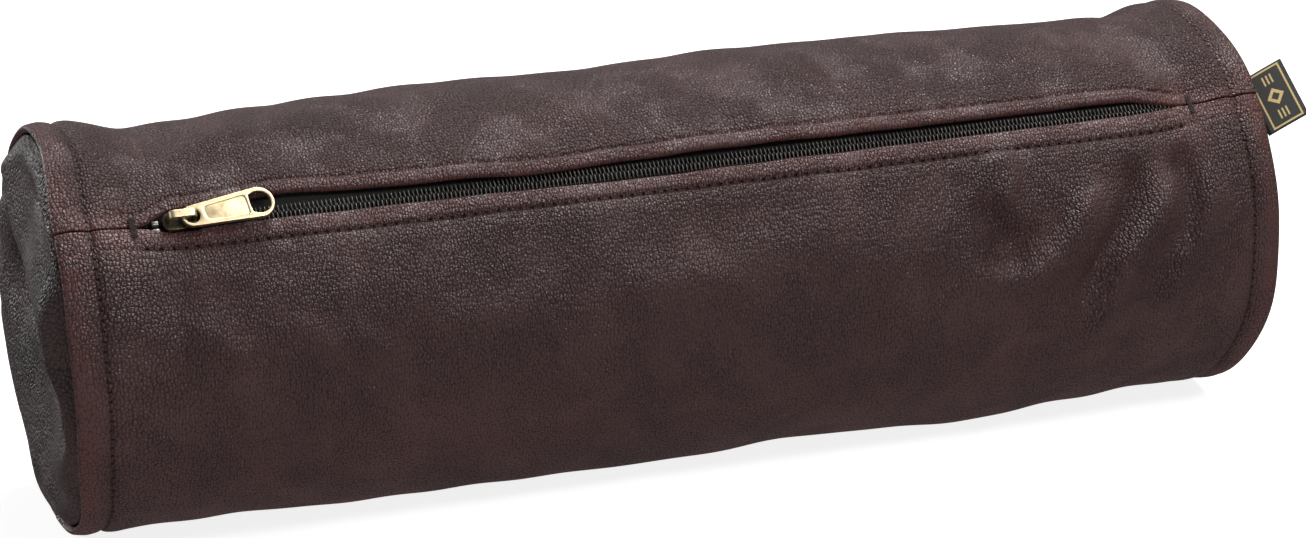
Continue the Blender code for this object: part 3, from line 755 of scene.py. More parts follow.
def label_material(name):
    """Black damask with a thin gold frame and a plain gold lozenge between two bars."""
    made, tree, shader = principled(name)
    plane = sheet_coordinates(tree)
    parts = add(tree, "ShaderNodeSeparateXYZ", {"Vector": plane}).outputs
    x, y = parts["X"], parts["Y"]
    frame_out = box_mask(tree, x, y, 10.6, 5.6)
    frame_in = box_mask(tree, x, y, 10.0, 5.0)
    gold = arithmetic(tree, "SUBTRACT", frame_out, frame_in)
    spread = arithmetic(tree, "ADD", arithmetic(tree, "ABSOLUTE", x), arithmetic(tree, "ABSOLUTE", y))
    lozenge = ranged(tree, spread, 3.0, 3.3, 1.0, 0.0)
    hollow = ranged(tree, spread, 1.5, 1.8, 1.0, 0.0)
    gold = arithmetic(tree, "ADD", gold, arithmetic(tree, "SUBTRACT", lozenge, hollow))
    shifted = arithmetic(tree, "SUBTRACT", arithmetic(tree, "ABSOLUTE", x), 6.6)
    for offset in (-1.4, 0.0, 1.4):
        bar = arithmetic(tree, "SUBTRACT", y, offset)
        gold = arithmetic(tree, "ADD", gold, box_mask(tree, shifted, bar, 1.7, 0.28))
    step = 2.0 * math.pi / 0.42
    weave = arithmetic(tree, "MULTIPLY", sine(tree, x, step), sine(tree, y, step))
    weave = ranged(tree, weave, -1.0, 1.0)
    ground = blend_colours(tree, weave, (0.006, 0.006, 0.006), (0.035, 0.034, 0.032))
    metal = blend_colours(tree, weave, (0.42, 0.28, 0.08), (0.80, 0.62, 0.28))
    height = arithmetic(tree, "MULTIPLY_ADD", gold, 0.8, weave)
    fill(tree, shader, {
        "Base Color": blend_colours(tree, gold, ground, metal),
        "Roughness": 0.55,
        "Normal": bumped(tree, 0.7, 0.00012, height),
    })
    return made


FINISHES = {
    "barrel_hide": leather("barrel_leather", LEATHER_BROWN, LEATHER_DARK, True, 0.27),
    "end_hide": leather("end_leather", LEATHER_GREY, LEATHER_DARK, False, 0.36),
    # The slider's brass is painted dark: painted shade standing for the shadow under the lips.
    "slider": brass("brass_painted_shade", (0.060, 0.050, 0.036), (0.022, 0.018, 0.014)),
    "brass": brass("antique_brass", (0.72, 0.59, 0.37), (0.36, 0.27, 0.14)),
    "zip_coil": nylon("coil_nylon", (0.026, 0.023, 0.020)),
    "zip_tape": woven("tape_twill", (0.004, 0.004, 0.004), (0.018, 0.017, 0.016), 0.7, 0.6),
    "lining": woven("lining_cloth", (0.010, 0.009, 0.009), (0.040, 0.036, 0.034), 0.55, 0.0),
    "thread": thread_material("brown_thread", (0.020, 0.0075, 0.0065)),
    "stop_metal": steel("stop_steel"),
    "label": label_material("label_damask"),
}


def set_weights(obj, weights, body):
    """Bakes a piece's transform into its mesh. Its weights are flattened and not kept."""
    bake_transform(obj)
    np.ravel(weights).astype(np.float32)


def settle(piece, slot, *nodes, body="case_body", weights=None, look=None):
    """Gives a piece its material, chosen by its slot or look, parents it to the body it rides on unless it
    has weights, and hides the CAD nodes it stands for.
    """
    piece.data.materials.clear()
    piece.data.materials.append(FINISHES[look or slot])
    if weights is None:
        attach(piece, body)
    else:
        set_weights(piece, weights, body)
    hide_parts(*nodes)
    return piece


def soften(obj, angle=35.0):
    """Smooth shading that keeps the sharp edges sharp."""
    obj.data.shade_smooth()
    obj.data.set_sharp_from_angle(angle=math.radians(angle))
    return obj


# ---------------------------------------------------------------- the leather wall


def spaced(start, end, step):
    """Numbers from start to end, about a step apart, without the end."""
    count = max(1, round(abs(end - start) / step))
    return list(np.linspace(start, end, count, endpoint=False))


def hide_columns():
    """Along the barrel: (x, drop) pairs, in round each rim's turned edge at both ends."""
    turned = [(3.4, -2.75), (2.2, -2.7), (1.2, -2.45), (0.45, -1.95), (0.1, -1.45)]
    corner = 1.3
    for step in range(5):
        turn = step * math.pi / 8.0
        turned.append((corner * (1 - math.cos(turn)), -corner * (1 - math.sin(turn))))
    flat = spaced(2.0, 15.0, 0.5)
    side = turned + [(inset, 0.0) for inset in flat]
    middle = spaced(-HALF_LENGTH + 15.0, HALF_LENGTH - 15.0, 1.7)
    if (len(middle) + 2 * len(side)) % 2 == 0:
        middle = list(np.linspace(-HALF_LENGTH + 15.0, HALF_LENGTH - 15.0, len(middle) + 1, endpoint=False))
    left = [(-HALF_LENGTH + inset, drop) for inset, drop in side]
    right = [(HALF_LENGTH - inset, drop) for inset, drop in side[::-1]]
    return np.array(left + [(x, 0.0) for x in middle] + right)


def hide_rows(end):
    """Round the wall from a lip's hem out to the underside: (back from the edge, drop) pairs."""
    rows = [(FOLD + back, -2 * FOLD) for back in spaced(HEM, 0.0, 1.5)]
    steps = 10
    for step in range(steps):
        turn = -math.pi / 2 + step * math.pi / steps
        rows.append((FOLD - FOLD * math.cos(turn), -FOLD + FOLD * math.sin(turn)))
    rows += [(back, 0.0) for back in spaced(FOLD, 13.0, 0.55)]
    plain = spaced(13.0, end, 1.7)
    if (len(rows) + len(plain)) % 2:
        plain = list(np.linspace(13.0, end, len(plain) + 1, endpoint=False))
    rows += [(back, 0.0) for back in plain] + [(end, 0.0)]
    return np.array(rows)


def in_order(side, *grids):
    """Grids as they are for the upper half, and with their rows reversed for the lower one."""
    return [grid if side > 0 else grid[::-1] for grid in grids]


def hide_half(name, side, end):
    """One side of the wall's leather, from its rolled lip to the barrel's underside, and its weights."""
    along, round_wall = hide_columns().T[:, None, :], hide_rows(end).T[:, :, None]
    x, column_drop, back, row_drop = np.broadcast_arrays(*along, *round_wall)
    edge = lip_edge(x, side) * lip_share(back)
    narrow = (1.0 - fold_width(x)) * FOLD * (1.0 - smooth(back, FOLD, 16.0))
    pressed = np.where((row_drop < 0) & (back <= FOLD), back * fold_width(x), back - narrow)
    flat_back = np.maximum(back, FOLD)
    arc, flat_arc = side * (edge + pressed), side * (edge + flat_back)
    inset = HALF_LENGTH - np.abs(x)
    radius = RADIUS + relief(x, flat_arc) + lip_shape(x, flat_back, side)
    radius = radius + band_shape(inset) + np.maximum(column_drop + row_drop, -3.0)
    outer = barrel_point(x, arc, radius)

    lip = bump(back, 0.0, 12.0)
    worn = 0.5 * bump(inset, 2.0, 4.0) + 0.6 * bump(back, 2.0, 4.5) + 0.9 * bump(inset, 3.0, 8.0) * lip
    worn = worn + 0.8 * bump(x, BAR_LEFT, 6.0) * lip + 0.9 * bump(x, BAR_RIGHT, 7.0) * lip
    tight = bump(inset, 2.0, 5.0) + bump(back, 2.0, 4.0)
    sewn = smooth(x, BAR_LEFT + 1.0, BAR_LEFT + 3.0) * smooth(BAR_RIGHT - x, 1.0, 3.0)
    far = 9.0
    stitch = (flat_back + edge - LOWER_STITCH if side < 0 else far) + far * (1.0 - sewn)
    grids = (outer, arc, flap_weight(x, flat_arc), np.clip(worn, 0.0, 1.0), np.clip(tight, 0.0, 1.0), stitch)
    outer, arc, weight, worn, tight, stitch = in_order(side, *grids)
    numbers = {"worn": worn, "tight": tight, "stitch": stitch}
    return link(name, thick_sheet(name, outer, HIDE * MM, (x, arc), numbers)), with_inner(weight)


def build_hides():
    """The two halves of the wall's leather."""
    for half, side, body in HALVES:
        end = UNDER_UPPER if side > 0 else -UNDER_LOWER
        hide, weights = hide_half(half + "_hide", side, end)
        nodes = (body + "_hide", body + "_foam", "barrel_hide", "barrel_foam")
        settle(hide, "barrel_hide", *nodes, body=body, weights=weights)


def build_linings():
    """The lining of each half, sewn to the lip's hem and following the leather's dips."""
    for half, side, body in HALVES:
        name = half + "_lining"
        end = UNDER_UPPER if side > 0 else -UNDER_LOWER
        along = np.linspace(-LINING_HALF, LINING_HALF, 101)[None, :]
        x, back = np.broadcast_arrays(along, np.linspace(LINING_BACK, end, 71 if side > 0 else 45)[:, None])
        arc = side * (back + lip_edge(x, side) * lip_share(back))
        sag = np.minimum(relief(x, arc), 0.4)
        wrinkle = 0.18 * np.sin(x / 5.0 + arc / 9.0) * np.sin(arc / 6.0)
        outer = barrel_point(x, arc, LINING_RADIUS + sag + wrinkle)
        outer, arc, weight = in_order(side, outer, arc, flap_weight(x, arc))
        lining = link(name, thick_sheet(name, outer, LINING * MM, (x, arc)))
        settle(lining, "lining", body + "_lining", "barrel_lining", body=body, weights=with_inner(weight))


# ---------------------------------------------------------------- the ends

# The left end's slack folds: points (back, up) on the disc, height, width on either side.
LEFT_FOLDS = (
    (((30, 54), (22, 44), (8, 31), (-14, 22), (-31, 14), (-38, 2), (-44, -9), (-47, -24)), 4.8, 2.4, 9.0),
    (((42, 38), (35, 22), (30, 4), (14, -10), (-4, -23), (-22, -33), (-40, -42)), 4.4, 2.4, 8.0),
    (((52, 16), (47, 0), (36, -16), (18, -32), (-4, -44), (-22, -52)), 3.2, 2.4, 8.0),
    (((2, 52), (-16, 42), (-32, 28), (-44, 12), (-52, -6), (-54, -24)), -3.2, 4.0, 4.0),
    (((26, 30), (14, 12), (-6, 0), (-26, -14), (-40, -28)), -2.6, 4.5, 5.0),
    (((56, -6), (44, -24), (26, -42), (6, -54)), 1.4, 3.0, 5.0),
)
RIGHT_FOLDS = (
    (((-36, 42), (-22, 30), (-12, 12), (-2, -8), (16, -26), (30, -44)), 1.8, 2.4, 7.0),
    (((-50, 22), (-38, 8), (-28, -12), (-14, -30), (4, -48)), 1.5, 2.2, 6.0),
    (((-12, 52), (4, 36), (16, 18), (30, 0), (44, -18)), 1.3, 2.6, 7.0),
    (((20, 50), (34, 34), (46, 14), (52, -6)), 0.9, 3.0, 5.0),
)
CAP_EDGE = 62.0
CAP_LINING_EDGE = 60.2


def cap_height(back, up, side, lean):
    """How far an end's leather stands out of its rim's plane, at a place on the disc.

    The folds were laid out on a flat end, so where the rim leans they are carried along with it.
    """
    away = np.hypot(back, up)
    inside = CAP_EDGE - away
    dome = 3.6 * (1.0 - np.exp(-np.maximum(inside, 0.0) / 3.2)) + 0.9 * bump(away, 0.0, 34.0)
    roll = 1.1 * bump(inside, 5.0, 3.2)
    folds = 0.0
    for points, height, left, right in LEFT_FOLDS if side < 0 else RIGHT_FOLDS:
        carried = (back + 2.7 * lean, up - 1.06 * lean) if side < 0 else (back, up)
        folds = folds + fold_line(*carried, points, height, left, right, fade=0.12)
    random = np.random.default_rng(5 if side < 0 else 6)
    ripple = 0.0
    for _ in range(9):
        length = random.uniform(16.0, 48.0)
        way = random.uniform(0.6, 2.4)
        wave = (back * math.cos(way) + up * math.sin(way)) * 2.0 * math.pi / length
        ripple = ripple + 0.12 * np.sin(wave + random.uniform(0.0, 6.0))
    return -1.0 + dome + roll + (folds + ripple) * smooth(inside, 0.0, 9.0)


def build_cap(end, side):
    """An end's round piece of leather, its edge turned into the barrel, and its lining."""
    turned_in = 11.0
    turn = np.linspace(0.0, 2.0 * math.pi, 241)[None, :]
    flange = [(CAP_EDGE - 0.6, -depth) for depth in spaced(turned_in, 2.4, 1.6)]
    rings = [CAP_EDGE * share for share in (0.9975, 0.9925, 0.984, 0.973, 0.96)]
    rings += [CAP_EDGE * share for share in np.linspace(0.945, 0.012, 51)]
    radii = np.array([radius for radius, _ in flange] + rings)[:, None]
    back, up = -radii * np.cos(turn), radii * np.sin(turn)
    arc = (turn - SEAM_TURN + math.pi) % (2 * math.pi) * RADIUS - math.pi * RADIUS
    x = np.full_like(back, side * HALF_LENGTH)
    lean = rim_lean(x, arc + 0 * back) * smooth(radii, 10.0, 60.0)
    out = cap_height(back, up, side, side * lean)
    for row, (_, depth) in enumerate(flange):
        out[row] = depth
    height = np.maximum(AXIS_HEIGHT + up + rim_lift(x), 0.4)
    outer = np.stack([x + side * out + lean, back, height], axis=-1) * MM
    grids = (outer, back, up)
    round_sheet(end + "_cap", side, grids, HIDE, "end_hide", end + "_end_disc")

    inner = np.linspace(CAP_LINING_EDGE, 0.6, 15)[:, None]
    back, up = -inner * np.cos(turn[:, ::4]), inner * np.sin(turn[:, ::4])
    x = side * (HALF_LENGTH - 2.0 + 0.5 * bump(inner, 0.0, 30.0) - 2.0 * bump(inner, CAP_LINING_EDGE, 3.0))
    height = AXIS_HEIGHT + up + rim_lift(HALF_LENGTH)
    outer = np.stack(np.broadcast_arrays(x, back, height), axis=-1) * MM
    grids = (outer, back, up)
    round_sheet(end + "_cap_lining", side, grids, LINING, "lining", end + "_end_lining")


def round_sheet(name, side, grids, thickness, slot, node):
    """An end's round sheet, from grids of its points and of their places on the disc."""
    outer, back, up = (grid[:, ::-1] if side > 0 else grid for grid in grids)
    piece = settle(disc_object(name, outer, thickness * MM, (back, up)), slot, node)


def disc_object(name, outer, thickness, uvs):
    """A closed round sheet from a grid of rings that run inward, joined into a disc with a closed middle."""
    rings, turns = outer.shape[0], outer.shape[1] - 1
    made = bmesh.new()
    layer = made.loops.layers.uv.new("sheet")
    places, edges = {}, []
    for surface, way in ((outer, 1), (outer - grid_normals(outer) * thickness, -1)):
        grid = [[made.verts.new(surface[i, j]) for j in range(turns)] for i in range(rings)]
        middle = made.verts.new(surface[-1, :-1].mean(axis=0))
        places[middle] = (0.0, 0.0)
        for i in range(rings):
            for j in range(turns):
                k = (j + 1) % turns
                places[grid[i][j]] = (uvs[0][i, j] * MM, uvs[1][i, j] * MM)
                inward = [grid[i + 1][k], grid[i + 1][j]] if i < rings - 1 else [middle]
                made.faces.new([grid[i][j], grid[i][k], *inward][::way])
        edges.append(grid[0])
    outside, inside = edges
    for j in range(turns):
        k = (j + 1) % turns
        made.faces.new([outside[k], outside[j], inside[j], inside[k]])
    for face in made.faces:
        for loop in face.loops:
            loop[layer].uv = places[loop.vert]
    mesh = bpy.data.meshes.new(name)
    bmesh.ops.recalc_face_normals(made, faces=made.faces)
    made.to_mesh(mesh)
    made.free()
    mesh.shade_smooth()
    return link(name, mesh)


# ---------------------------------------------------------------- stitches


def stitch_row(place, count, radius, dip):
    """A row of stitches. place gives a point for a number of stitches along and a height over the leather."""
    parts = []
    steps = 7
    for k in range(count):
        share = np.linspace(0.04, 0.96, steps)
        height = -dip + (dip + 0.32 * radius) * np.sin(math.pi * share) ** 0.45
        points = [place(k + s, h) for s, h in zip(share, height)]
        parts.append(sweep(np.array(points), round_section(radius * MM, 6)))
    return gather(parts)


def build_rim_threads():
    """The rings of stitches that hold the rims' bands."""
    count = round(2 * math.pi * RADIUS / RIM_PITCH) - 1
    for name, side in (("left_rim_thread", -1), ("right_rim_thread", 1)):
        x = side * BAND_STITCH

        def place(number, height):
            arc = UNDER_LOWER + 2.0 + number * RIM_PITCH
            level = RADIUS + relief(x, arc) + band_shape(BAND) + height
            level = level + lip_shape(x, max(abs(arc), FOLD), 1 if arc > 0 else -1)
            return barrel_point(x, arc, level)

        mesh = build_mesh(name, *stitch_row(place, count, 0.24, 0.45))
        settle(link(name + "_stitches", mesh), "thread", name)


def build_lip_threads():
    """The topstitching behind each lip."""
    start = math.ceil((BAR_LEFT + 2.0) / LIP_PITCH)
    end = math.floor((BAR_RIGHT - 2.0) / LIP_PITCH)
    for (half, side, body), radius in zip(HALVES, (0.16, 0.24)):

        def place(number, height):
            x = (start + number) * LIP_PITCH
            back = UPPER_CREASE if side > 0 else LOWER_STITCH - lip_edge(x, side)
            arc = side * (lip_edge(x, side) + back)
            return barrel_point(x, arc, RADIUS + relief(x, arc) + lip_shape(x, back, side) + height)

        name = half + "_lip_thread"
        points, faces = stitch_row(place, end - start, radius, 0.45)
        x = points[:, 0] / MM
        from_seam = lip_edge(x, side) + UPPER_CREASE if side > 0 else LOWER_STITCH
        weights = flap_weight(x, side * from_seam + 0 * x)
        thread = link(name + "_stitches", build_mesh(name, points, faces))
        settle(thread, "thread", name, body=body, weights=weights)


def build_bar_tacks():
    """The dense zigzag that closes each end of the mouth."""
    for name in ("left_bar_tack", "right_bar_tack"):
        middle = box_middle(name)
        middle = middle + (2.5 if middle < 0 else 0.0)
        count = 15
        path = []
        for k in range(count + 1):
            up = -3.4 + 6.8 * k / count
            for side in ((-1, 1) if k % 2 == 0 else (1, -1)):
                path.append((middle + side * 0.65, up + 0.08 * side))
        x, arc = np.array(path).T
        back = np.maximum(np.abs(arc), FOLD)
        shape = np.where(arc >= 0, lip_shape(x, back, 1), lip_shape(x, back, -1))
        points = smooth_path(barrel_point(x, arc, RADIUS + relief(x, arc) + shape + 0.4), 3)
        mesh = build_mesh(name, *sweep(points, round_section(0.17 * MM)))
        settle(link(name + "_zigzag", mesh), "thread", name)


# ---------------------------------------------------------------- the zip


def build_tapes():
    """The twill tapes that carry the coils, sewn under the lips."""
    inner, outer_edge = 0.9, 14.3
    for half, side, body in HALVES:
        name = half + "_zip_tape"
        low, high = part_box(name)
        along = np.linspace(low.x / MM, high.x / MM, 121)[None, :]
        x, up = np.broadcast_arrays(along, np.linspace(inner, outer_edge, 15)[:, None])
        arc = side * up + chain_rise(x)
        outer = barrel_point(x, arc, TAPE_RADIUS + 0.12 * np.sin(x / 8.0))
        outer, arc, weight = in_order(side, outer, arc, flap_weight(x, arc))
        tape = link(name + "_twill", thick_sheet(name, outer, 0.45 * MM, (x, arc)))
        settle(tape, "zip_tape", name, body=body, weights=with_inner(weight))


def build_coils():
    """Each chain half: one long nylon filament wound into flattened loops."""
    per_loop, sides = 12, 7
    for half, side, body in HALVES:
        name = half + "_zip_coil"
        low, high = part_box(name)
        loops = int(((high.x - low.x) / MM - 1.0) / COIL_PITCH)
        turn = np.arange(loops * per_loop + 1) * 2.0 * math.pi / per_loop
        start = low.x / MM + 0.5 + (COIL_PITCH / 2.0 if side > 0 else 0.0)
        x = np.minimum(start + COIL_PITCH * turn / (2.0 * math.pi), high.x / MM)
        wide = np.sign(np.cos(turn)) * np.abs(np.cos(turn)) ** 0.8
        tall = np.sign(np.sin(turn)) * np.abs(np.sin(turn)) ** 0.7
        up = side * (1.22 - 1.5 * wide) + chain_rise(x)
        points = zip_point(x + 0.42 * wide * COIL_PITCH * 0.5, up, CHAIN_RADIUS + 0.78 * tall)
        mesh = build_mesh(name, *sweep(points, round_section(0.29 * MM, sides)))
        weights = np.repeat(flap_weight(x, side * 1.5 + 0 * x), sides)
        settle(link(name + "_loops", mesh), "zip_coil", name, body=body, weights=weights)


def outline_solid(name, loops, low, high, edge):
    """A closed solid from (x, up) loops in the zip's frame, with rounded edges, between two heights out."""
    curve = bpy.data.curves.new(name, "CURVE")
    curve.dimensions = "2D"
    curve.fill_mode = "BOTH"
    curve.resolution_u = 1
    thickness = high - low
    curve.extrude = (thickness / 2.0 - edge) * MM
    curve.bevel_depth = edge * MM
    curve.bevel_resolution = 3
    curve.offset = -edge * MM
    for loop in loops:
        spline = curve.splines.new("POLY")
        spline.points.add(len(loop) - 1)
        for point, (x, up) in zip(spline.points, loop):
            point.co = (x * MM, up * MM, 0.0, 1.0)
        spline.use_cyclic_u = True
    holder = link(name, curve)
    bpy.context.view_layer.update()
    mesh = bpy.data.meshes.new_from_object(holder.evaluated_get(bpy.context.evaluated_depsgraph_get()))
    bpy.data.objects.remove(holder)
    bpy.data.curves.remove(curve)
    welded = bmesh.new()
    welded.from_mesh(mesh)
    bmesh.ops.remove_doubles(welded, verts=welded.verts, dist=1e-6)
    middle = (low + high) / 2.0 * MM
    for vertex in welded.verts:
        vertex.co.z += middle
    welded.to_mesh(mesh)
    welded.free()
    return mesh


def arc_points(centre, radius, start, end, steps):
    """Points round an arc, in degrees from +x."""
    turns = [math.radians(start + (end - start) * k / steps) for k in range(steps + 1)]
    return [(centre[0] + radius * math.cos(t), centre[1] + radius * math.sin(t)) for t in turns]


def parts_of(mesh):
    """A mesh's points and faces."""
    return np.array([vertex.co for vertex in mesh.vertices]), [list(face.vertices) for face in mesh.polygons]


def to_zip_frame(mesh, skew=0.0, origin=(0.0, 0.0, 0.0)):
    """Moves a mesh that was made about its own origin into the zip's frame, in metres."""
    points = np.array([vertex.co for vertex in mesh.vertices])
    cos, sin = math.cos(skew), math.sin(skew)
    x = points[:, 0] * cos - points[:, 1] * sin + origin[0] * MM
    up = points[:, 0] * sin + points[:, 1] * cos + origin[1] * MM
    out = points[:, 2] + origin[2] * MM
    placed = zip_point(x / MM, up / MM, out / MM)
    mesh.vertices.foreach_set("co", placed.astype(np.float32).ravel())
    mesh.update()
    return mesh


def box_middle(name):
    """The middle of a CAD node along x, in millimetres."""
    low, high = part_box(name)
    return (low.x + high.x) / 2.0 / MM


PULLER_OUT = math.hypot(PULLER_AXIS.y, PULLER_AXIS.z - AXIS_HEIGHT)
SKEW = math.asin(JOINTS["puller_swing"]["axis"][0])
SLIDER_RISE = 1.2
CROWN_RISE = 1.9
PULLER_RISE = 0.8
RING_CENTRE = 3.0
RING_RADIUS = 3.6
END_CENTRE = 24.2
END_RADIUS = 5.25


def puller_outline():
    """The tab's outer edge, from its ring to its round end."""
    half = math.degrees(math.asin((END_RADIUS - RING_RADIUS) / (END_CENTRE - RING_CENTRE)))
    ring = arc_points((RING_CENTRE, 0.0), RING_RADIUS, 90 + half, 270 - half, 22)
    return ring + arc_points((END_CENTRE, 0.0), END_RADIUS, -90 + half, 90 - half, 30)


def end_hole():
    """The D-shaped hole in the tab's round end."""
    round_side = arc_points((24.5, 0.0), 3.75, -116, 116, 26)
    return round_side + [(21.9, 2.9), (21.75, 1.6), (21.7, 0.0), (21.75, -1.6), (21.9, -2.9)]


def panel_outline():
    """The recessed panel between the ring and the hole."""
    half = [(7.3, 0.0), (7.35, 1.3), (7.6, 2.0), (8.3, 2.35), (14.0, 2.85), (20.0, 3.35)]
    half += [(20.6, 2.7), (20.7, 1.4)]
    return half + [(20.7, 0.0)] + [(x, -up) for x, up in half[:0:-1]]


def build_puller():
    """The pull tab: a rounded frame of brass round a sunk panel, with a ring at one end."""
    ring_hole = arc_points((RING_CENTRE, 0.0), 2.45, 0, 360, 32)[:-1]
    loops = [puller_outline(), ring_hole, end_hole()]
    base = outline_solid("puller_base", loops, -0.8, 0.45, 0.3)
    top = outline_solid("puller_top", [*loops, panel_outline()], -0.3, 0.8, 0.32)
    pieces = [parts_of(base), parts_of(top)]
    points, faces = gather(pieces)
    hollow = np.zeros(len(points))
    hollow[: len(pieces[0][0])] = 1.0
    mesh = build_mesh("zip_puller_tab", points, faces, floats={"hollow": hollow})
    to_zip_frame(mesh, SKEW, (PULLER_AXIS.x, PULLER_RISE, PULLER_OUT))
    settle(soften(link("zip_puller_tab", mesh), 50.0), "brass", "zip_puller", body="puller")


def build_crown():
    """The bent strap over the slider that the ring hangs in."""
    half, top, base = 4.1, 3.45, 65.6
    path = [(-half, -0.2), (-half, 1.6), (-half + 0.2, 2.8), (-half + 0.9, top - 0.05), (-1.2, top + 0.05)]
    path += [(-x, out) for x, out in path[::-1]]
    x, out = smooth_path(path, 6).T
    points = np.stack([box_middle("slider_body") + x, 0 * x + CROWN_RISE, base + out], axis=1) * MM
    ups = np.tile((0.0, 1.0, 0.0), (len(points), 1))
    strap = sweep(points, strap_section(0.95 * MM, 2.7 * MM, 0.3 * MM), ups=ups)
    mesh = to_zip_frame(build_mesh("slider_crown_strap", *strap))
    settle(soften(link("slider_crown_strap", mesh), 60.0), "brass", "slider_crown", body="slider")


def build_slider():
    """The slider: two plates, wide where the chain halves enter and narrow where the closed chain leaves."""
    plate = [(-6.0, 1.0), (-5.7, 2.2), (-4.6, 2.9), (-2.6, 3.1), (0.0, 3.0)]
    plate += [(2.5, 2.75), (5.2, 2.55), (6.0, 1.9)]
    outline = plate + [(x, -up) for x, up in plate[::-1]]
    outline = [(x, up) for x, up in smooth_path(outline + outline[:1], 3)[:-1]]
    post = arc_points((-4.0, 0.0), 1.2, 0, 360, 16)[:-1]
    parts = []
    for loops, start, end, edge in (
        ([outline], 64.75, 65.85, 0.35),
        ([outline], 60.1, 61.1, 0.3),
        ([post], 60.8, 65.2, 0.1),
    ):
        parts.append(parts_of(outline_solid("slider_part", loops, start, end, edge)))
    for side in (1, -1):
        path = np.array([(-4.6, 2.75), (-2.6, 2.85), (0.0, 2.75), (2.5, 2.5), (5.3, 2.3)])
        line = smooth_path(path, 4)
        rail = np.stack([line[:, 0], side * line[:, 1], 0 * line[:, 0] + 64.3], axis=1) * MM
        ups = np.tile((0.0, 0.0, 1.0), (len(rail), 1))
        parts.append(sweep(rail, strap_section(0.7 * MM, 1.7 * MM, 0.2 * MM), ups=ups))
    mesh = build_mesh("slider_plates", *gather(parts))
    to_zip_frame(mesh, origin=(box_middle("slider_body"), SLIDER_RISE, 0.0))
    slider = soften(link("slider_plates", mesh), 50.0)
    # Its finish is the brass painted dark, as painted shade.
    settle(slider, "brass", "slider_body", body="slider", look="slider")


def crimp(x, up, out, length, width, height, wall):
    """A C-shaped metal crimp, open towards the chain's middle."""
    turn = np.linspace(0.22 * math.pi, 1.78 * math.pi, 15)
    across = up + (width / 2.0) * np.cos(turn)
    over = out + (height / 2.0) * np.sin(turn)
    points = np.stack([np.full_like(across, x), across, over], axis=1) * MM
    ups = np.tile((1.0, 0.0, 0.0), (len(points), 1))
    return sweep(points, strap_section(wall * MM, length * MM, wall * 0.4 * MM), ups=ups)


def build_stops():
    """The crimps at the chain's two ends."""
    out = 63.3
    for half, side, body in HALVES:
        name = half + "_top_stop"
        x = box_middle(name)
        points, faces = crimp(x, 1.35, out, 2.2, 2.2, 2.3, 0.5)
        points[:, 1] = points[:, 1] * side + chain_rise(x) * MM
        mesh = to_zip_frame(build_mesh(name, points, [face[::side] for face in faces]))
        weights = np.full(len(points), float(flap_weight(np.float64(x), side * 1.5)))
        stop = soften(link(name + "_crimp", mesh))
        settle(stop, "stop_metal", name, body=body, weights=weights)
    name = "bottom_stop"
    x = box_middle(name)
    rise = ((-1.1, 0.0), (-0.95, 0.05), (0.0, 0.1), (0.95, 0.05), (1.1, 0.0))
    run = np.array([(x + along, 0.0, out + lift) for along, lift in rise])
    ups = np.tile((0.0, 0.0, 1.0), (len(run), 1))
    strap = sweep(run * MM, strap_section(4.9 * MM, 1.9 * MM, 0.45 * MM), ups=ups)
    mesh = to_zip_frame(build_mesh(name, *strap))
    settle(soften(link(name + "_crimp", mesh)), "stop_metal", name)


def build_label():
    """The woven tab that stands out of the right rim's seam, folded at its outer end."""
    hinge = Vector(JOINTS["label_flex"]["pos_m"])
    tilt = math.radians(42.0)
    way = Vector((math.cos(tilt), 0.0, 0.0)) + SEAM_OUT * math.sin(tilt)
    across_way = SEAM_UP.normalized()
    normal = way.cross(across_way).normalized()
    reach, width, gap = 13.6, 22.6, 0.42
    turned = math.radians(-7.0)
    way, across_way = (way * math.cos(turned) - across_way * math.sin(turned),
                       across_way * math.cos(turned) + way * math.sin(turned))
    loop = [(-1.5, -gap / 2), (3.0, -gap / 2 - 0.03), (8.0, -gap / 2 - 0.1), (12.5, -gap / 2 - 0.08)]
    turn_over = [(reach - 0.25 + 0.25 * math.sin(t), -0.3 * math.cos(t)) for t in np.linspace(0, math.pi, 7)]
    loop = loop + turn_over + [(s, -lift) for s, lift in loop[::-1]]
    section = smooth_path(loop, 3)
    along = np.linspace(-width / 2.0, width / 2.0, 49)
    curl = 0.5 * (along / 12.0) ** 2
    outer = np.zeros((len(section), len(along), 3))
    for i, (out, lift) in enumerate(section):
        bend = 0.9 * max(out, 0.0) ** 2 / reach**2
        frayed = 0.06 * np.sin(along * 5.0)
        for j, side in enumerate(along):
            rise = lift - bend * 0.5 - curl[j] * 0.35 * max(out, 0.0) / reach
            place = hinge + (way * (out + frayed[j]) + across_way * (side - 2.2) + normal * rise) * MM
            outer[i, j] = place
    run = np.concatenate([[0.0], np.cumsum(np.hypot(*np.diff(section, axis=0).T))])
    fold = run[-1] / 2.0
    v = (np.abs(run - fold) - 7.2)[:, None] + 0 * along[None, :]
    u = along[None, :] + 0 * v
    mesh = thick_sheet("rim_label_tab", outer, 0.3 * MM, (u, v))
    label = settle(link("rim_label_tab", mesh), "label", "rim_label", body="label")


# ---------------------------------------------------------------- studio


def aim(obj, place, way):
    """Puts a light or the camera at a place, looking along a direction."""
    obj.location = place
    obj.rotation_mode = "QUATERNION"
    obj.rotation_quaternion = way.to_track_quat("-Z", "Y")


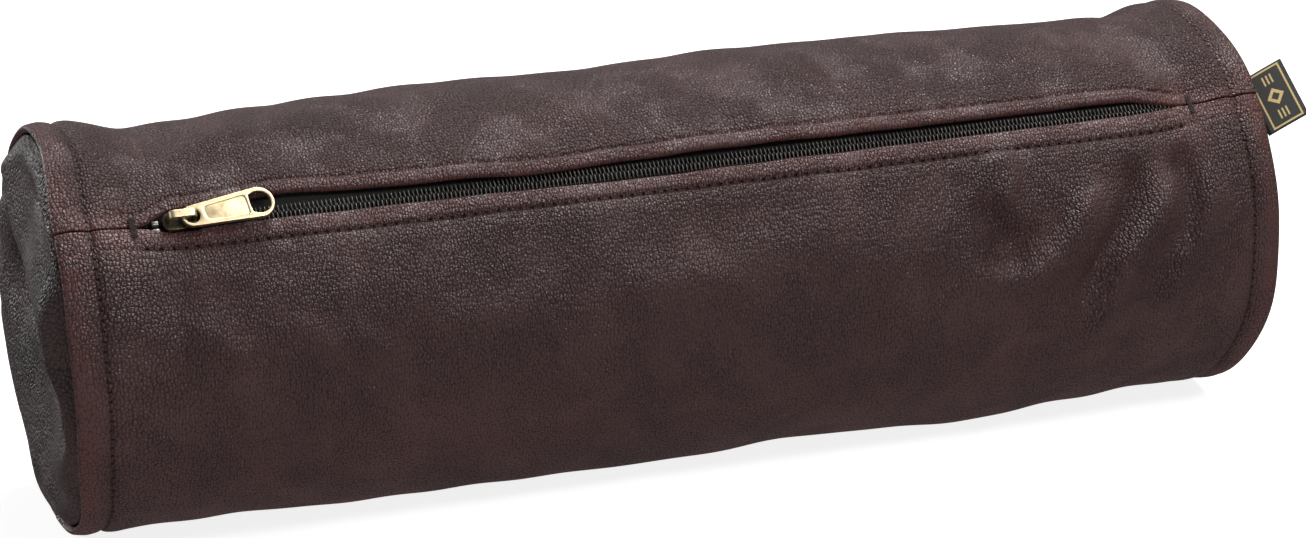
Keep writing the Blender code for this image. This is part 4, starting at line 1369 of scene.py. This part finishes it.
def build_studio():
    """A pale floor, a pale surround and five soft area lights, a wide one above."""
    bpy.context.scene.view_settings.view_transform = "Standard"
    made, tree, shader = principled("pale_floor")
    paper = noise(tree, object_coordinates(tree), 0.02, 3.0).outputs["Fac"]
    fill(tree, shader, {
        "Base Color": blend_colours(tree, paper, (0.56, 0.56, 0.56), (0.60, 0.60, 0.60)),
        "Roughness": 0.9,
        "Specular IOR Level": 0.2,
        "Emission Color": (1.0, 1.0, 1.0, 1.0),
        "Emission Strength": 0.84,
    })
    size = 6.0
    points = [(-size, -size, 0.0), (size, -size, 0.0), (size, size, 0.0), (-size, size, 0.0)]
    floor = link("floor", build_mesh("floor", points, [[0, 1, 2, 3]]))
    floor.data.materials.append(made)
    floor.visible_glossy = False

    world = bpy.data.worlds.new("surround")
    bpy.context.scene.world = world
    world.use_nodes = True
    background = world.node_tree.nodes["Background"]
    background.inputs["Color"].default_value = (1.0, 1.0, 1.0, 1.0)
    background.inputs["Strength"].default_value = 0.12

    for name, place, target_x, size_x, size_y, energy in (
        ("overhead", (0.45, 0.45, 1.25), 0.0, 1.2, 0.28, 22.5),
        ("front_top", (0.35, -0.95, 1.0), 0.0, 0.7, 0.25, 7.5),
        ("zip_top", (0.42, -0.28, 1.25), 0.0, 0.6, 0.3, 3.6),
        ("left_back", (-0.75, 1.15, 0.3), -0.2, 0.4, 0.3, 5.5),
        ("left", (-1.3, 0.25, 0.75), -0.2, 0.5, 0.5, 2.0),
    ):
        light = bpy.data.lights.new(name, "AREA")
        light.shape = "RECTANGLE"
        light.size, light.size_y = size_x, size_y
        light.energy = energy
        lamp = link(name, light)
        lamp.visible_camera = False
        aim(lamp, place, Vector((target_x, 0.0, 0.06)) - Vector(place))


def build_camera():
    """The camera, a long lens a little above the case and to its left."""
    azimuth, elevation, distance = math.radians(-20.1), math.radians(20.0), 1.449
    level = math.cos(elevation)
    back = Vector((math.sin(azimuth) * level, -math.cos(azimuth) * level, math.sin(elevation)))
    data = bpy.data.cameras.new("camera")
    data.lens = 121.1
    data.sensor_width = 36.0
    data.shift_x = 0.0064
    data.shift_y = -0.0074
    camera = link("camera", data)
    aim(camera, Vector((0.0, 0.0, RADIUS * MM)) + back * distance, -back)
    bpy.context.scene.camera = camera


build_camera()
build_studio()
build_hides()
build_linings()
build_cap("left", -1)
build_cap("right", 1)
build_rim_threads()
build_lip_threads()
build_bar_tacks()
build_tapes()
build_coils()
build_slider()
build_crown()
build_puller()
build_stops()
build_label()
